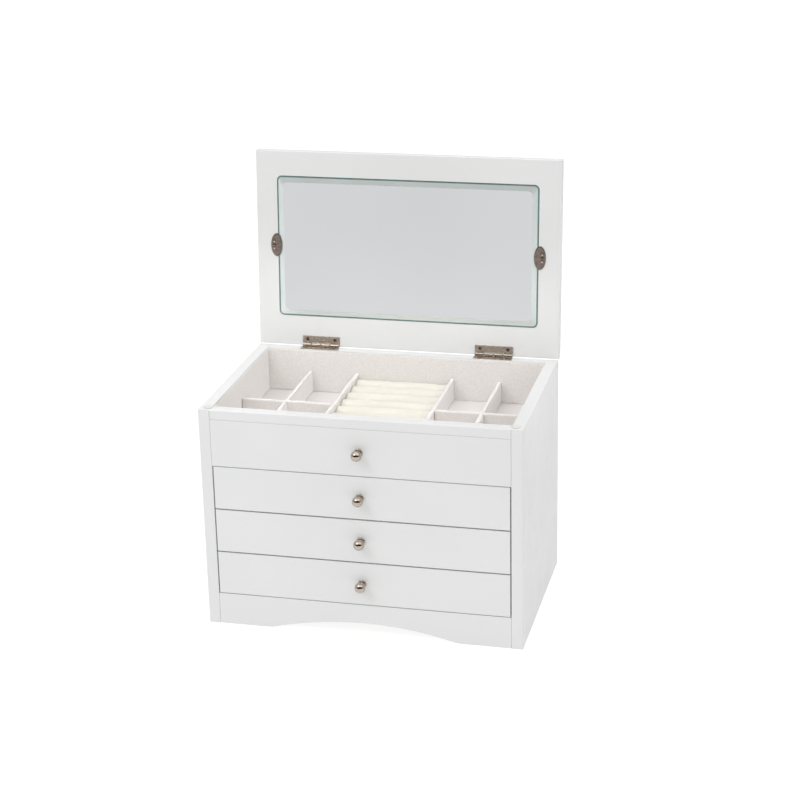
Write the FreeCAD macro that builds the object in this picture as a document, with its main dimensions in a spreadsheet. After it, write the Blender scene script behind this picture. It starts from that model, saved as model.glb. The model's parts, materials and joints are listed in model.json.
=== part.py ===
import FreeCAD, Part
import math
import os
import re

import Sketcher

# Jewellery box: a white board cabinet with a felt-lined tray under a hinged, mirrored lid,
# a fixed false drawer front and three felt-lined drawers that slide on wooden runners.
#
# Every piece is drawn in one of three frames, in millimetres:
#   the cabinet frame   x from the middle, y from the front faces to the back, z from the feet
#   the hinge frame     the same directions, from the middle of the lid's hinge axis
#   the lid frame       the hinge frame turned back with the open lid, so that in it the lid
#                       lies closed: its inner face looks down and its front edge is at -y
# The part's origin is on the floor, in the middle of the box that holds the open object.

DIMENSIONS = {
    # cabinet
    "width": 330.0,
    "depth": 212.0,
    "height": 235.0,
    "board": 12.0,              # side, back and front boards
    "edge_ease": 1.0,           # rounding of the outer edges
    "joint_ease": 0.8,          # rounding where two boards meet
    "rail_height": 10.0,
    "false_front_height": 50.0,
    "apron_height": 34.0,
    "arch_half_span": 103.0,
    "arch_rise": 13.4,
    "arch_end_radius": 40.0,
    "base_board": 6.0,
    "base_drop": 1.0,           # base panel below the apron's top edge
    # drawers
    "drawer_gap": 1.2,          # between two fronts, one above the other
    "drawer_side_gap": 1.0,     # between a front and a side panel
    "front_ease": 0.9,
    "drawer_board": 9.0,
    "drawer_bottom": 3.0,
    "drawer_clearance": 1.5,    # between the drawer's side and the side panel
    "drawer_lift": 4.0,         # drawer's bottom above the lower edge of its front
    "drawer_headroom": 9.0,     # height of a front that the drawer's sides don't reach
    "drawer_back_space": 12.0,
    "groove_height": 6.0,
    "groove_depth": 4.5,
    "groove_from_bottom": 14.0,
    "runner_clearance": 0.3,
    "runner_setback": 1.0,
    "liner_drop": 1.0,          # felt below the edge of the wood around it
    "felt": 1.2,
    # tray
    "tray_depth": 47.5,         # from the rim down to the felt floor
    "tray_board": 4.0,
    "divider": 4.0,
    "divider_height": 24.5,
    "divider_ease": 1.4,
    "divider_inner_x": 52.5,    # beside the ring rolls
    "divider_outer_x": 104.0,
    "cross_divider_y": 102.0,
    "lap_clearance": 0.1,
    "roll_diameter": 20.3,
    "roll_gap": 0.3,
    "bumper_radius": 4.6,
    "bumper_height": 1.2,
    "bumper_from_side": 8.6,
    "bumper_from_front": 8.3,
    # knobs
    "knob_ball_radius": 5.5,
    "knob_projection": 14.3,
    "knob_rose_radius": 4.6,
    "knob_rose": 1.5,
    "knob_neck_radius": 2.4,
    "knob_socket": 7.0,
    "knob_screw_radius": 2.0,
    "knob_screw_head_radius": 3.7,
    "knob_screw_head": 2.2,
    "knob_screw_reach": 6.0,    # thread inside the knob
    "knob_screw_sink": 0.2,     # head below the inner face of the front
    "counterbore_clearance": 0.2,
    "screw_clearance": 0.05,
    "cut_past": 1.0,            # how far a cut runs past the face that it opens
    # hinges
    "hinge_x": 95.3,
    "hinge_length": 41.4,
    "hinge_inset": 1.2,         # hinge axis in front of the cabinet's back face
    "barrel_radius": 1.9,
    "pin_radius": 0.95,
    "pin_clearance": 0.05,
    "leaf": 0.9,
    "leaf_width": 9.6,
    "knuckle_gap": 0.3,
    "hinge_screw_x": 15.2,      # from the middle of the leaf
    "hinge_screw_y": 5.9,       # from the axis
    "hinge_screw_radius": 1.1,
    "hinge_screw_head_radius": 2.1,
    "hinge_screw_length": 8.0,
    "hinge_screw_end_gap": 0.5,
    "open_angle": 94.0,
    # lid
    "lid_depth": 212.0,
    "lid_board": 12.0,
    "lid_ease": 1.0,
    "lid_front_ease": 3.0,
    "mirror_side_border": 23.5,
    "mirror_back_border": 33.0,
    "mirror_front_border": 27.0,
    "mirror": 3.0,
    "mirror_recess": 2.0,
    "mirror_clearance": 0.4,
    "mirror_corner": 5.0,
    "mirror_bevel": 6.5,
    "mirror_bevel_drop": 0.9,
    # mirror clips
    "clip_plate": 0.8,
    "clip_half_length": 12.5,
    "clip_half_width": 6.25,
    "clip_overhang": 1.9,       # middle of the clip outside the mirror's edge
    "clip_left_from_back": 110.0,
    "clip_right_from_back": 108.3,
    "clip_screw_offset": 2.4,   # screw further out than the middle of the clip
    "clip_screw_radius": 0.9,
    "clip_screw_head_radius": 1.9,
    "clip_screw_head": 0.8,
    "clip_screw_length": 7.0,
}
DRAWERS = 3

doc = FreeCAD.newDocument("jewellery_box")
sheet = doc.addObject("Spreadsheet::Sheet", "Dimensions")
for row, (alias, number) in enumerate(DIMENSIONS.items(), start=1):
    sheet.set(f"A{row}", alias)
    sheet.set(f"B{row}", str(number))
    sheet.setAlias(f"B{row}", alias)
gauge = doc.addObject("App::FeaturePython", "Gauge")
gauge.addProperty("App::PropertyFloat", "Reading")
doc.recompute()

# Places that several pieces share, worked out from the sheet.
HALF_WIDTH = "width / 2"
HALF_INSIDE = "(width / 2 - board)"
BACK_INSIDE = "(depth - board)"
HINGE_Y = "(depth - hinge_inset)"
HINGE_Z = "(height + barrel_radius)"
LID_REACH = (
    "((lid_depth - hinge_inset) * -cos(open_angle * 1deg)"
    " + (barrel_radius + lid_board) * sin(open_angle * 1deg))"
)
MIDDLE_Y = f"(({HINGE_Y} + {LID_REACH} - knob_projection) / 2)"
FALSE_FRONT_Z = "(height - rail_height - false_front_height)"
DRAWER_PITCH = f"(({FALSE_FRONT_Z} - apron_height) / {DRAWERS})"
DRAWER_HALF_WIDTH = "(width / 2 - board - drawer_clearance)"
DRAWER_BACK = "(depth - board - drawer_back_space)"
TRAY_FLOOR_Z = "(height - tray_depth)"
TRAY_HALF_WIDTH = "(width / 2 - board - felt)"
TRAY_FRONT = "(board + felt)"
TRAY_BACK = "(depth - board - felt)"
MIRROR_HALF_WIDTH = "(width / 2 - mirror_side_border)"
MIRROR_FRONT = "(hinge_inset - lid_depth + mirror_front_border)"
MIRROR_BACK = "(hinge_inset - mirror_back_border)"
MIRROR_FACE = "(barrel_radius + mirror_recess - mirror)"
CROWN_RADIUS = "(arch_half_span / sin(2 * atan(arch_rise / arch_half_span)) - arch_end_radius)"

AXIS_TURN = {
    "x": FreeCAD.Rotation(FreeCAD.Vector(0, 1, 0), 90),
    "y": FreeCAD.Rotation(FreeCAD.Vector(1, 0, 0), -90),
    "z": FreeCAD.Rotation(),
}


def bound(text):
    """The text as an expression, with each sheet alias written as the sheet's own."""
    def full(found):
        word = found.group()
        return f"Dimensions.{word}" if word in DIMENSIONS else word
    return re.sub(r"[a-z_]+", full, str(text))


def bind(thing, prop, text):
    thing.setExpression(prop, bound(text))


def value(text):
    """What an expression of the sheet's values comes to now."""
    bind(gauge, "Reading", text)
    gauge.recompute()
    return gauge.Reading


def frame(y, z, tilt="0"):
    """Placement on the symmetry plane, turned back about x by tilt degrees."""
    base = f"create(<<vector>>; 0; {y}; {z})"
    turn = f"create(<<rotation>>; create(<<vector>>; 1; 0; 0); -({tilt}))"
    return f"create(<<placement>>; {base}; {turn})"


CABINET = frame(f"-{MIDDLE_Y}", "0")
HINGE = frame(f"{HINGE_Y} - {MIDDLE_Y}", HINGE_Z)
LID = frame(f"{HINGE_Y} - {MIDDLE_Y}", HINGE_Z, "open_angle")


def new_body(label, place):
    body = doc.addObject("PartDesign::Body", label)
    body.Label = label
    body.AllowCompound = True
    bind(body, "Placement", place)
    return body


def put(piece, at):
    for axis, text in zip("xyz", at):
        bind(piece, f"Placement.Base.{axis}", text)


def block(body, corner, size, cut=False):
    kind = "Subtractive" if cut else "Additive"
    piece = body.newObject(f"PartDesign::{kind}Box", "Block")
    for prop, text in zip(("Length", "Width", "Height"), size):
        bind(piece, prop, text)
    put(piece, corner)
    return piece


def rod(body, start, radius, length, axis, cut=False):
    kind = "Subtractive" if cut else "Additive"
    piece = body.newObject(f"PartDesign::{kind}Cylinder", "Rod")
    piece.Placement = FreeCAD.Placement(FreeCAD.Vector(), AXIS_TURN[axis])
    bind(piece, "Radius", radius)
    bind(piece, "Height", length)
    put(piece, start)
    return piece


def cone(body, start, low_radius, high_radius, length, cut=False):
    kind = "Subtractive" if cut else "Additive"
    piece = body.newObject(f"PartDesign::{kind}Cone", "Cone")
    bind(piece, "Radius1", low_radius)
    bind(piece, "Radius2", high_radius)
    bind(piece, "Height", length)
    put(piece, start)
    return piece


def runs_along(edge, axis):
    """Whether a straight edge runs along x, y or z."""
    if len(edge.Vertexes) != 2:
        return False
    way = edge.Vertexes[1].Point - edge.Vertexes[0].Point
    return abs(getattr(way, axis)) > 0.999 * way.Length


def middle(edge):
    return edge.CenterOfMass


def ease(body, radius, wanted):
    """Rounds the edges of the body's tip that wanted(edge, box of the tip) accepts."""
    doc.recompute()
    base = body.Tip
    names = edge_names(base, wanted)
    if not names:
        raise RuntimeError(f"{body.Label} has no such edge to round")
    rounding = body.newObject("PartDesign::Fillet", "Eased")
    rounding.Base = (base, names)
    bind(rounding, "Radius", radius)
    return rounding


def edge_names(base, wanted):
    box = base.Shape.BoundBox
    found = enumerate(base.Shape.Edges, start=1)
    return [f"Edge{number}" for number, edge in found if wanted(edge, box)]


def near(first, second):
    return abs(first - second) < 0.01


def panel(label, corner, size, place=CABINET):
    """A plain rectangular piece, with sharp edges."""
    body = new_body(label, place)
    block(body, corner, size)
    return body


# ---- cabinet -----------------------------------------------------------------------------

def side_panel(label, inner_x, outer_is_low):
    """Full-height side board; its outer edges and its rim are rounded."""
    body = panel(label, (inner_x, "0", "0"), ("board", "depth", "height"))

    def outer(edge, box):
        outer_x = box.XMin if outer_is_low else box.XMax
        return near(middle(edge).x, outer_x)

    def inner_front(edge, box):
        inner = box.XMax if outer_is_low else box.XMin
        return near(middle(edge).x, inner) and near(middle(edge).y, box.YMin)

    ease(body, "edge_ease", outer)
    ease(body, "joint_ease", inner_front)


def back_panel():
    """Back board between the sides, with pilot holes for the hinge screws in its top edge."""
    body = panel(
        "back_panel",
        (f"-{HALF_INSIDE}", BACK_INSIDE, "0"),
        (f"2 * {HALF_INSIDE}", "board", "height"),
    )
    ease(body, "edge_ease", lambda edge, box: near(middle(edge).z, box.ZMax)
         and near(middle(edge).y, box.YMax))
    for x in hinge_screw_places():
        rod(
            body,
            (x, f"{HINGE_Y} - hinge_screw_y", "height - hinge_screw_length"),
            "hinge_screw_radius + screw_clearance",
            "hinge_screw_length + cut_past",
            "z",
            cut=True,
        )


def front_board(label, low, tall, half_width=HALF_INSIDE, rounding="joint_ease"):
    """Front piece, flush with the side panels, its front edges rounded."""
    body = panel(label, (f"-{half_width}", "0", low), (f"2 * {half_width}", "board", tall))
    ease(body, rounding, lambda edge, box: near(middle(edge).y, box.YMin))
    return body


def front_apron():
    """Bottom rail, cut away below in an arch whose ends turn out into flat feet."""
    body = new_body("front_apron", CABINET)
    sketch = body.newObject("Sketcher::SketchObject", "ApronProfile")
    plane = next(one for one in body.Origin.OriginFeatures if one.Role == "XZ_Plane")
    sketch.AttachmentSupport = [(plane, "")]
    sketch.MapMode = "FlatFace"
    half = value(HALF_INSIDE)
    top = value("apron_height")
    span = value("arch_half_span")
    rise = value("arch_rise")
    end = value("arch_end_radius")
    slope = 2 * math.atan2(rise, span)
    crown = value(CROWN_RADIUS)
    point = FreeCAD.Vector
    up = point(0, 0, 1)
    right_angle = math.pi / 2
    crown_circle = Part.Circle(point(0, rise - crown, 0), up, crown)
    left_circle = Part.Circle(point(-span, end, 0), up, end)
    right_circle = Part.Circle(point(span, end, 0), up, end)
    sketch.addGeometry([
        Part.LineSegment(point(-half, 0, 0), point(-span, 0, 0)),
        Part.ArcOfCircle(left_circle, 3 * right_angle, 3 * right_angle + slope),
        Part.ArcOfCircle(crown_circle, right_angle - slope, right_angle + slope),
        Part.ArcOfCircle(right_circle, 3 * right_angle - slope, 3 * right_angle),
        Part.LineSegment(point(span, 0, 0), point(half, 0, 0)),
        Part.LineSegment(point(half, 0, 0), point(half, top, 0)),
        Part.LineSegment(point(half, top, 0), point(-half, top, 0)),
        Part.LineSegment(point(-half, top, 0), point(-half, 0, 0)),
    ], False)
    constrain = Sketcher.Constraint
    left_foot, left_end, arch, right_end, right_foot, right_side, top_edge, left_side = range(8)
    start, finish = 1, 2
    floor_line, middle_line = -1, -2
    origin = (floor_line, start)
    sketch.addConstraint([
        constrain("Horizontal", right_foot),
        constrain("Horizontal", top_edge),
        constrain("Vertical", right_side),
        constrain("Vertical", left_side),
        constrain("Coincident", right_foot, finish, right_side, start),
        constrain("Coincident", right_side, finish, top_edge, start),
        constrain("Coincident", top_edge, finish, left_side, start),
        constrain("Coincident", left_side, finish, left_foot, start),
        constrain("Tangent", left_foot, finish, left_end, start),
        constrain("Tangent", left_end, finish, arch, finish),
        constrain("Tangent", arch, start, right_end, start),
        constrain("Tangent", right_end, finish, right_foot, start),
        constrain("PointOnObject", right_foot, finish, floor_line),
        constrain("Symmetric", left_foot, start, right_foot, finish, middle_line),
        constrain("Symmetric", left_foot, finish, right_foot, start, middle_line),
        constrain("Equal", left_end, right_end),
    ])
    named = {
        "half_width": (constrain("DistanceX", *origin, right_foot, finish, half), HALF_INSIDE),
        "half_span": (constrain("DistanceX", *origin, right_foot, start, span), "arch_half_span"),
        "tall": (constrain("DistanceY", right_side, start, right_side, finish, top), "apron_height"),
        "end": (constrain("Radius", right_end, end), "arch_end_radius"),
        "crown": (constrain("Radius", arch, crown), CROWN_RADIUS),
    }
    for name, (one, text) in named.items():
        number = sketch.addConstraint(one)
        sketch.renameConstraint(number, name)
        bind(sketch, f"Constraints.{name}", text)
    pad = body.newObject("PartDesign::Pad", "Apron")
    pad.Profile = sketch
    pad.Reversed = True
    bind(pad, "Length", "board")
    ease(body, "joint_ease", lambda edge, box: near(middle(edge).y, box.YMin))


def cabinet():
    side_panel("left_side_panel", f"-{HALF_WIDTH}", True)
    side_panel("right_side_panel", HALF_INSIDE, False)
    back_panel()
    front_board("front_top_rail", "height - rail_height", "rail_height")
    false_front = front_board("false_drawer_front", FALSE_FRONT_Z, "false_front_height")
    knob_bore(false_front, f"{FALSE_FRONT_Z} + false_front_height / 2")
    front_apron()
    panel(
        "base_panel",
        (f"-{HALF_INSIDE}", "board", "apron_height - base_drop - base_board"),
        (f"2 * {HALF_INSIDE}", "depth - 2 * board", "base_board"),
    )
    runners = new_body("drawer_runners", CABINET)
    for drawer in range(DRAWERS):
        low = f"{drawer_bottom_z(drawer)} + groove_from_bottom + runner_clearance"
        for inner in (f"-{HALF_INSIDE}", f"{HALF_INSIDE} - ({runner_width()})"):
            block(
                runners,
                (inner, "board + runner_setback", low),
                (runner_width(), "depth - 2 * board - 2 * runner_setback",
                 "groove_height - 2 * runner_clearance"),
            )


# ---- knobs -------------------------------------------------------------------------------

KNOB_SCREW_SEAT = "(board - knob_screw_sink - knob_screw_head)"


def knob_bore(body, z):
    """Screw hole through a front board, counterbored behind for the head."""
    rod(body, ("0", "-cut_past", z), "knob_screw_radius + screw_clearance",
        "board + 2 * cut_past", "y", cut=True)
    rod(body, ("0", KNOB_SCREW_SEAT, z), "knob_screw_head_radius + counterbore_clearance",
        "knob_screw_head + cut_past", "y", cut=True)


def knob(label, z):
    """Ball knob on a short neck and a round rose, with a blind hole for its screw."""
    body = new_body(label, CABINET)
    centre = "(knob_projection - knob_ball_radius)"
    rod(body, ("0", "-knob_rose", z), "knob_rose_radius", "knob_rose", "y")
    rod(body, ("0", f"-{centre}", z), "knob_neck_radius", centre, "y")
    ball = body.newObject("PartDesign::AdditiveSphere", "Ball")
    bind(ball, "Radius", "knob_ball_radius")
    put(ball, ("0", f"-{centre}", z))
    rod(
        body,
        ("0", "-knob_socket", z),
        "knob_screw_radius + screw_clearance",
        "knob_socket + cut_past",
        "y",
        cut=True,
    )
    ease(body, "knob_rose / 2", lambda edge, box: near(middle(edge).y, -value("knob_rose"))
         and near(edge.Length, 2 * math.pi * value("knob_rose_radius")))


def knob_screw(label, z):
    """Machine screw from behind the front board into the knob."""
    body = new_body(label, CABINET)
    rod(body, ("0", "-knob_screw_reach", z), "knob_screw_radius",
        f"knob_screw_reach + {KNOB_SCREW_SEAT}", "y")
    rod(body, ("0", KNOB_SCREW_SEAT, z), "knob_screw_head_radius", "knob_screw_head", "y")


# ---- tray --------------------------------------------------------------------------------

def tray():
    felt_tall = "(tray_depth - liner_drop)"
    inside = f"2 * {HALF_INSIDE}"
    panel(
        "tray_floor_board",
        (f"-{HALF_INSIDE}", "board", f"{TRAY_FLOOR_Z} - felt - tray_board"),
        (inside, "depth - 2 * board", "tray_board"),
    )
    panel(
        "tray_floor_felt",
        (f"-{HALF_INSIDE}", "board", f"{TRAY_FLOOR_Z} - felt"),
        (inside, "depth - 2 * board", "felt"),
    )
    across = (inside, "felt", felt_tall)
    panel("tray_liner_front", (f"-{HALF_INSIDE}", "board", TRAY_FLOOR_Z), across)
    panel("tray_liner_back", (f"-{HALF_INSIDE}", TRAY_BACK, TRAY_FLOOR_Z), across)
    along = ("felt", f"{TRAY_BACK} - {TRAY_FRONT}", felt_tall)
    panel("tray_liner_left", (f"-{HALF_INSIDE}", TRAY_FRONT, TRAY_FLOOR_Z), along)
    panel("tray_liner_right", (TRAY_HALF_WIDTH, TRAY_FRONT, TRAY_FLOOR_Z), along)
    dividers()
    ring_rolls()


def dividers():
    """Four dividers from front to back, and two across that are lapped into them."""
    places = {
        "tray_divider_left_outer": ("-divider_outer_x", True),
        "tray_divider_left_inner": ("-divider_inner_x", False),
        "tray_divider_right_inner": ("divider_inner_x", False),
        "tray_divider_right_outer": ("divider_outer_x", True),
    }
    slot = "divider + 2 * lap_clearance"
    for label, (x, lapped) in places.items():
        body = panel(
            label,
            (f"{x} - divider / 2", TRAY_FRONT, TRAY_FLOOR_Z),
            ("divider", f"{TRAY_BACK} - {TRAY_FRONT}", "divider_height"),
        )
        round_top(body, "y")
        if lapped:
            block(
                body,
                (f"{x} - divider", "cross_divider_y - divider / 2 - lap_clearance",
                 f"{TRAY_FLOOR_Z} + divider_height / 2"),
                ("2 * divider", slot, "divider_height"),
                cut=True,
            )
    reach = f"({TRAY_HALF_WIDTH} - divider_inner_x - divider / 2 - 2 * lap_clearance)"
    crossings = {
        "cross_divider_left": (f"-{TRAY_HALF_WIDTH} + lap_clearance", "-divider_outer_x"),
        "cross_divider_right": ("divider_inner_x + divider / 2 + lap_clearance", "divider_outer_x"),
    }
    for label, (start, crossing) in crossings.items():
        body = panel(
            label,
            (start, "cross_divider_y - divider / 2", TRAY_FLOOR_Z),
            (reach, "divider", "divider_height"),
        )
        round_top(body, "x")
        block(
            body,
            (f"{crossing} - divider / 2 - lap_clearance", "cross_divider_y - divider",
             f"{TRAY_FLOOR_Z} - divider_height / 2"),
            (slot, "2 * divider", "divider_height"),
            cut=True,
        )


def round_top(body, axis):
    ease(body, "divider_ease", lambda edge, box: runs_along(edge, axis)
         and near(middle(edge).z, box.ZMax))


def ring_rolls():
    """A row of padded rolls between the two inner dividers, which grips rings."""
    rolls = new_body("ring_rolls", CABINET)
    room = value(f"{TRAY_BACK} - {TRAY_FRONT}")
    count = int(room // value("roll_diameter + roll_gap"))
    pitch = f"(({TRAY_BACK} - {TRAY_FRONT}) / {count})"
    for number in range(count):
        rod(
            rolls,
            ("-divider_inner_x + divider / 2 + roll_gap",
             f"{TRAY_FRONT} + {number + 0.5} * {pitch}",
             f"{TRAY_FLOOR_Z} + roll_diameter / 2"),
            "roll_diameter / 2",
            "2 * (divider_inner_x - divider / 2 - roll_gap)",
            "x",
        )


def rim_bumpers():
    """Two clear pads on the rim's front corners, which the closed lid rests on."""
    pads = new_body("rim_bumpers", CABINET)
    for x in ("bumper_from_side - width / 2", "width / 2 - bumper_from_side"):
        rod(pads, (x, "bumper_from_front", "height"), "bumper_radius", "bumper_height", "z")
    ease(pads, "bumper_height / 3", lambda edge, box: near(middle(edge).z, box.ZMax))


# ---- drawers -----------------------------------------------------------------------------

def drawer_level(drawer):
    return f"(apron_height + {drawer} * {DRAWER_PITCH})"


def drawer_bottom_z(drawer):
    return f"({drawer_level(drawer)} + drawer_lift)"


def runner_width():
    return "drawer_clearance + groove_depth - runner_clearance"


def drawer(number):
    """One drawer: front, two grooved sides, back, bottom, felt liner, knob and screw."""
    name = f"drawer_{number + 1}"
    level = drawer_level(number)
    low = drawer_bottom_z(number)
    middle_z = f"{level} + {DRAWER_PITCH} / 2"
    wall_z = f"({low} + drawer_bottom)"
    wall = f"({DRAWER_PITCH} - drawer_headroom - drawer_bottom)"
    front = front_board(
        f"{name}_front",
        f"{level} + drawer_gap / 2",
        f"{DRAWER_PITCH} - drawer_gap",
        f"({HALF_INSIDE} - drawer_side_gap)",
        "front_ease",
    )
    knob_bore(front, middle_z)
    sides = {"left": (f"-{DRAWER_HALF_WIDTH}", f"-{DRAWER_HALF_WIDTH} - cut_past"),
             "right": (f"{DRAWER_HALF_WIDTH} - drawer_board", f"{DRAWER_HALF_WIDTH} - groove_depth")}
    for side, (wall_x, groove_x) in sides.items():
        body = panel(f"{name}_{side}_side", (wall_x, "board", wall_z),
                     ("drawer_board", f"{DRAWER_BACK} - board", wall))
        block(body, (groove_x, "board - cut_past", f"{low} + groove_from_bottom"),
              ("groove_depth + cut_past", "depth", "groove_height"), cut=True)
    inner = f"({DRAWER_HALF_WIDTH} - drawer_board)"
    panel(
        f"{name}_back",
        (f"-{inner}", f"{DRAWER_BACK} - drawer_board", wall_z),
        (f"2 * {inner}", "drawer_board", wall),
    )
    panel(
        f"{name}_bottom",
        (f"-{DRAWER_HALF_WIDTH}", "board", low),
        (f"2 * {DRAWER_HALF_WIDTH}", f"{DRAWER_BACK} - board", "drawer_bottom"),
    )
    inner_depth = f"({DRAWER_BACK} - drawer_board - board)"
    liner = panel(
        f"{name}_felt_liner",
        (f"-{inner}", "board", wall_z),
        (f"2 * {inner}", inner_depth, f"{wall} - liner_drop"),
    )
    block(
        liner,
        (f"-{inner} + felt", "board + felt", f"{wall_z} + felt"),
        (f"2 * ({inner} - felt)", f"{inner_depth} - 2 * felt", wall),
        cut=True,
    )
    knob(f"{name}_knob", middle_z)
    knob_screw(f"{name}_knob_screw", middle_z)


# ---- hinges ------------------------------------------------------------------------------

HINGES = {"left": "-hinge_x", "right": "hinge_x"}
HINGE_SHANK = "(hinge_screw_length - leaf - hinge_screw_end_gap)"


def hinge_screw_places():
    return [f"{x} + {way} * hinge_screw_x" for x in HINGES.values() for way in (-1, 1)]


def hinge_leaf(label, place, x, plate_z, knuckles, face_is_up):
    """Flat leaf with two of the barrel's four knuckles; the axis is the frame's x axis."""
    body = new_body(label, place)
    pitch = "(hinge_length / 4)"
    start = f"({x} - hinge_length / 2)"
    relief = "(barrel_radius + knuckle_gap)"
    block(body, (start, "-leaf_width", plate_z),
          ("hinge_length", f"leaf_width - {relief}", "leaf"))
    for knuckle in knuckles:
        low = f"{start} + {knuckle} * {pitch} + knuckle_gap / 2"
        length = f"{pitch} - knuckle_gap"
        block(body, (low, f"-{relief} - leaf", plate_z), (length, f"{relief} + leaf", "leaf"))
        rod(body, (low, "0", "0"), "barrel_radius", length, "x")
    rod(body, (f"{start} - cut_past", "0", "0"), "pin_radius + pin_clearance",
        "hinge_length + 2 * cut_past", "x", cut=True)
    radii = ["hinge_screw_radius + screw_clearance", "hinge_screw_head_radius + screw_clearance"]
    if not face_is_up:
        radii.reverse()
    for way in (-1, 1):
        cone(body, (f"{x} + {way} * hinge_screw_x", "-hinge_screw_y", plate_z), *radii,
             "leaf", cut=True)


def hinge_screws(label, place, head_z, shank_z, face_is_up):
    """Countersunk wood screws, two in each leaf."""
    body = new_body(label, place)
    radii = ["hinge_screw_radius", "hinge_screw_head_radius"]
    if not face_is_up:
        radii.reverse()
    for x in hinge_screw_places():
        cone(body, (x, "-hinge_screw_y", head_z), *radii, "leaf")
        rod(body, (x, "-hinge_screw_y", shank_z), "hinge_screw_radius",
            HINGE_SHANK, "z")


def hinges():
    pins = new_body("hinge_pins", HINGE)
    for side, x in HINGES.items():
        hinge_leaf(f"hinge_{side}_body_leaf", HINGE, x, "-barrel_radius", (1, 2), True)
        hinge_leaf(f"hinge_{side}_lid_leaf", LID, x, "barrel_radius - leaf", (0, 3), False)
        rod(pins, (f"{x} - hinge_length / 2", "0", "0"), "pin_radius", "hinge_length", "x")
    hinge_screws("hinge_body_screws", HINGE, "-barrel_radius",
                 f"-barrel_radius - {HINGE_SHANK}", True)
    hinge_screws("hinge_lid_screws", LID, "barrel_radius - leaf", "barrel_radius", False)


# ---- lid ---------------------------------------------------------------------------------

def lid_board():
    """Lid board with a shallow recess for the mirror and pilot holes for every screw."""
    body = panel(
        "lid_board",
        (f"-{HALF_WIDTH}", "hinge_inset - lid_depth", "barrel_radius"),
        ("width", "lid_depth", "lid_board"),
        LID,
    )
    ease(body, "lid_front_ease", lambda edge, box: near(middle(edge).y, box.YMin)
         and near(middle(edge).z, box.ZMax))
    ease(body, "lid_ease", lambda edge, box: near(middle(edge).z, box.ZMax)
         or near(middle(edge).z, box.ZMin))
    block(
        body,
        (f"-{MIRROR_HALF_WIDTH} - mirror_clearance", f"{MIRROR_FRONT} - mirror_clearance",
         "barrel_radius - cut_past"),
        (f"2 * ({MIRROR_HALF_WIDTH} + mirror_clearance)",
         f"{MIRROR_BACK} - {MIRROR_FRONT} + 2 * mirror_clearance", "mirror_recess + cut_past"),
        cut=True,
    )
    ease(body, "mirror_corner + mirror_clearance", lambda edge, box: runs_along(edge, "z")
         and near(abs(middle(edge).x), value(f"{MIRROR_HALF_WIDTH} + mirror_clearance")))
    for x in hinge_screw_places():
        rod(body, (x, "-hinge_screw_y", "barrel_radius - cut_past"),
            "hinge_screw_radius + screw_clearance", "hinge_screw_length + cut_past", "z", cut=True)
    for x, y in clip_screw_places():
        rod(body, (x, y, "barrel_radius - cut_past"),
            "clip_screw_radius + screw_clearance", "clip_screw_length + cut_past", "z", cut=True)


def mirror():
    """Bevelled mirror glass with rounded corners; its face stands a little proud."""
    body = panel(
        "mirror",
        (f"-{MIRROR_HALF_WIDTH}", MIRROR_FRONT, MIRROR_FACE),
        (f"2 * {MIRROR_HALF_WIDTH}", f"{MIRROR_BACK} - {MIRROR_FRONT}", "mirror"),
        LID,
    )
    ease(body, "mirror_corner", lambda edge, box: runs_along(edge, "z"))
    middle_y = f"({MIRROR_FRONT} + {MIRROR_BACK}) / 2"
    sides = {
        0: ("0", MIRROR_FRONT),
        90: (MIRROR_HALF_WIDTH, middle_y),
        180: ("0", MIRROR_BACK),
        270: (f"-{MIRROR_HALF_WIDTH}", middle_y),
    }
    for turn, (x, y) in sides.items():
        bevel = body.newObject("PartDesign::SubtractiveWedge", "Bevel")
        bevel.Placement = FreeCAD.Placement(
            FreeCAD.Vector(), FreeCAD.Rotation(FreeCAD.Vector(0, 0, 1), turn)
        )
        limits = {
            "Xmin": "-width", "Xmax": "width", "X2min": "-width", "X2max": "width",
            "Ymin": "0", "Ymax": "mirror_bevel",
            "Zmin": "0", "Zmax": "mirror_bevel_drop", "Z2min": "0", "Z2max": "0",
        }
        for prop, text in limits.items():
            bind(bevel, prop, text)
        put(bevel, (x, y, MIRROR_FACE))


CLIPS = {"left": (-1, "clip_left_from_back"), "right": (1, "clip_right_from_back")}


def clip_centre(way, from_back):
    return f"{way} * ({MIRROR_HALF_WIDTH} + clip_overhang)", f"hinge_inset - {from_back}"


def clip_screw_places():
    """The screws are further out than the middle of each clip, clear of the mirror."""
    places = []
    for way, from_back in CLIPS.values():
        x, y = clip_centre(way, from_back)
        places.append((f"{x} + {way} * clip_screw_offset", y))
    return places


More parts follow.
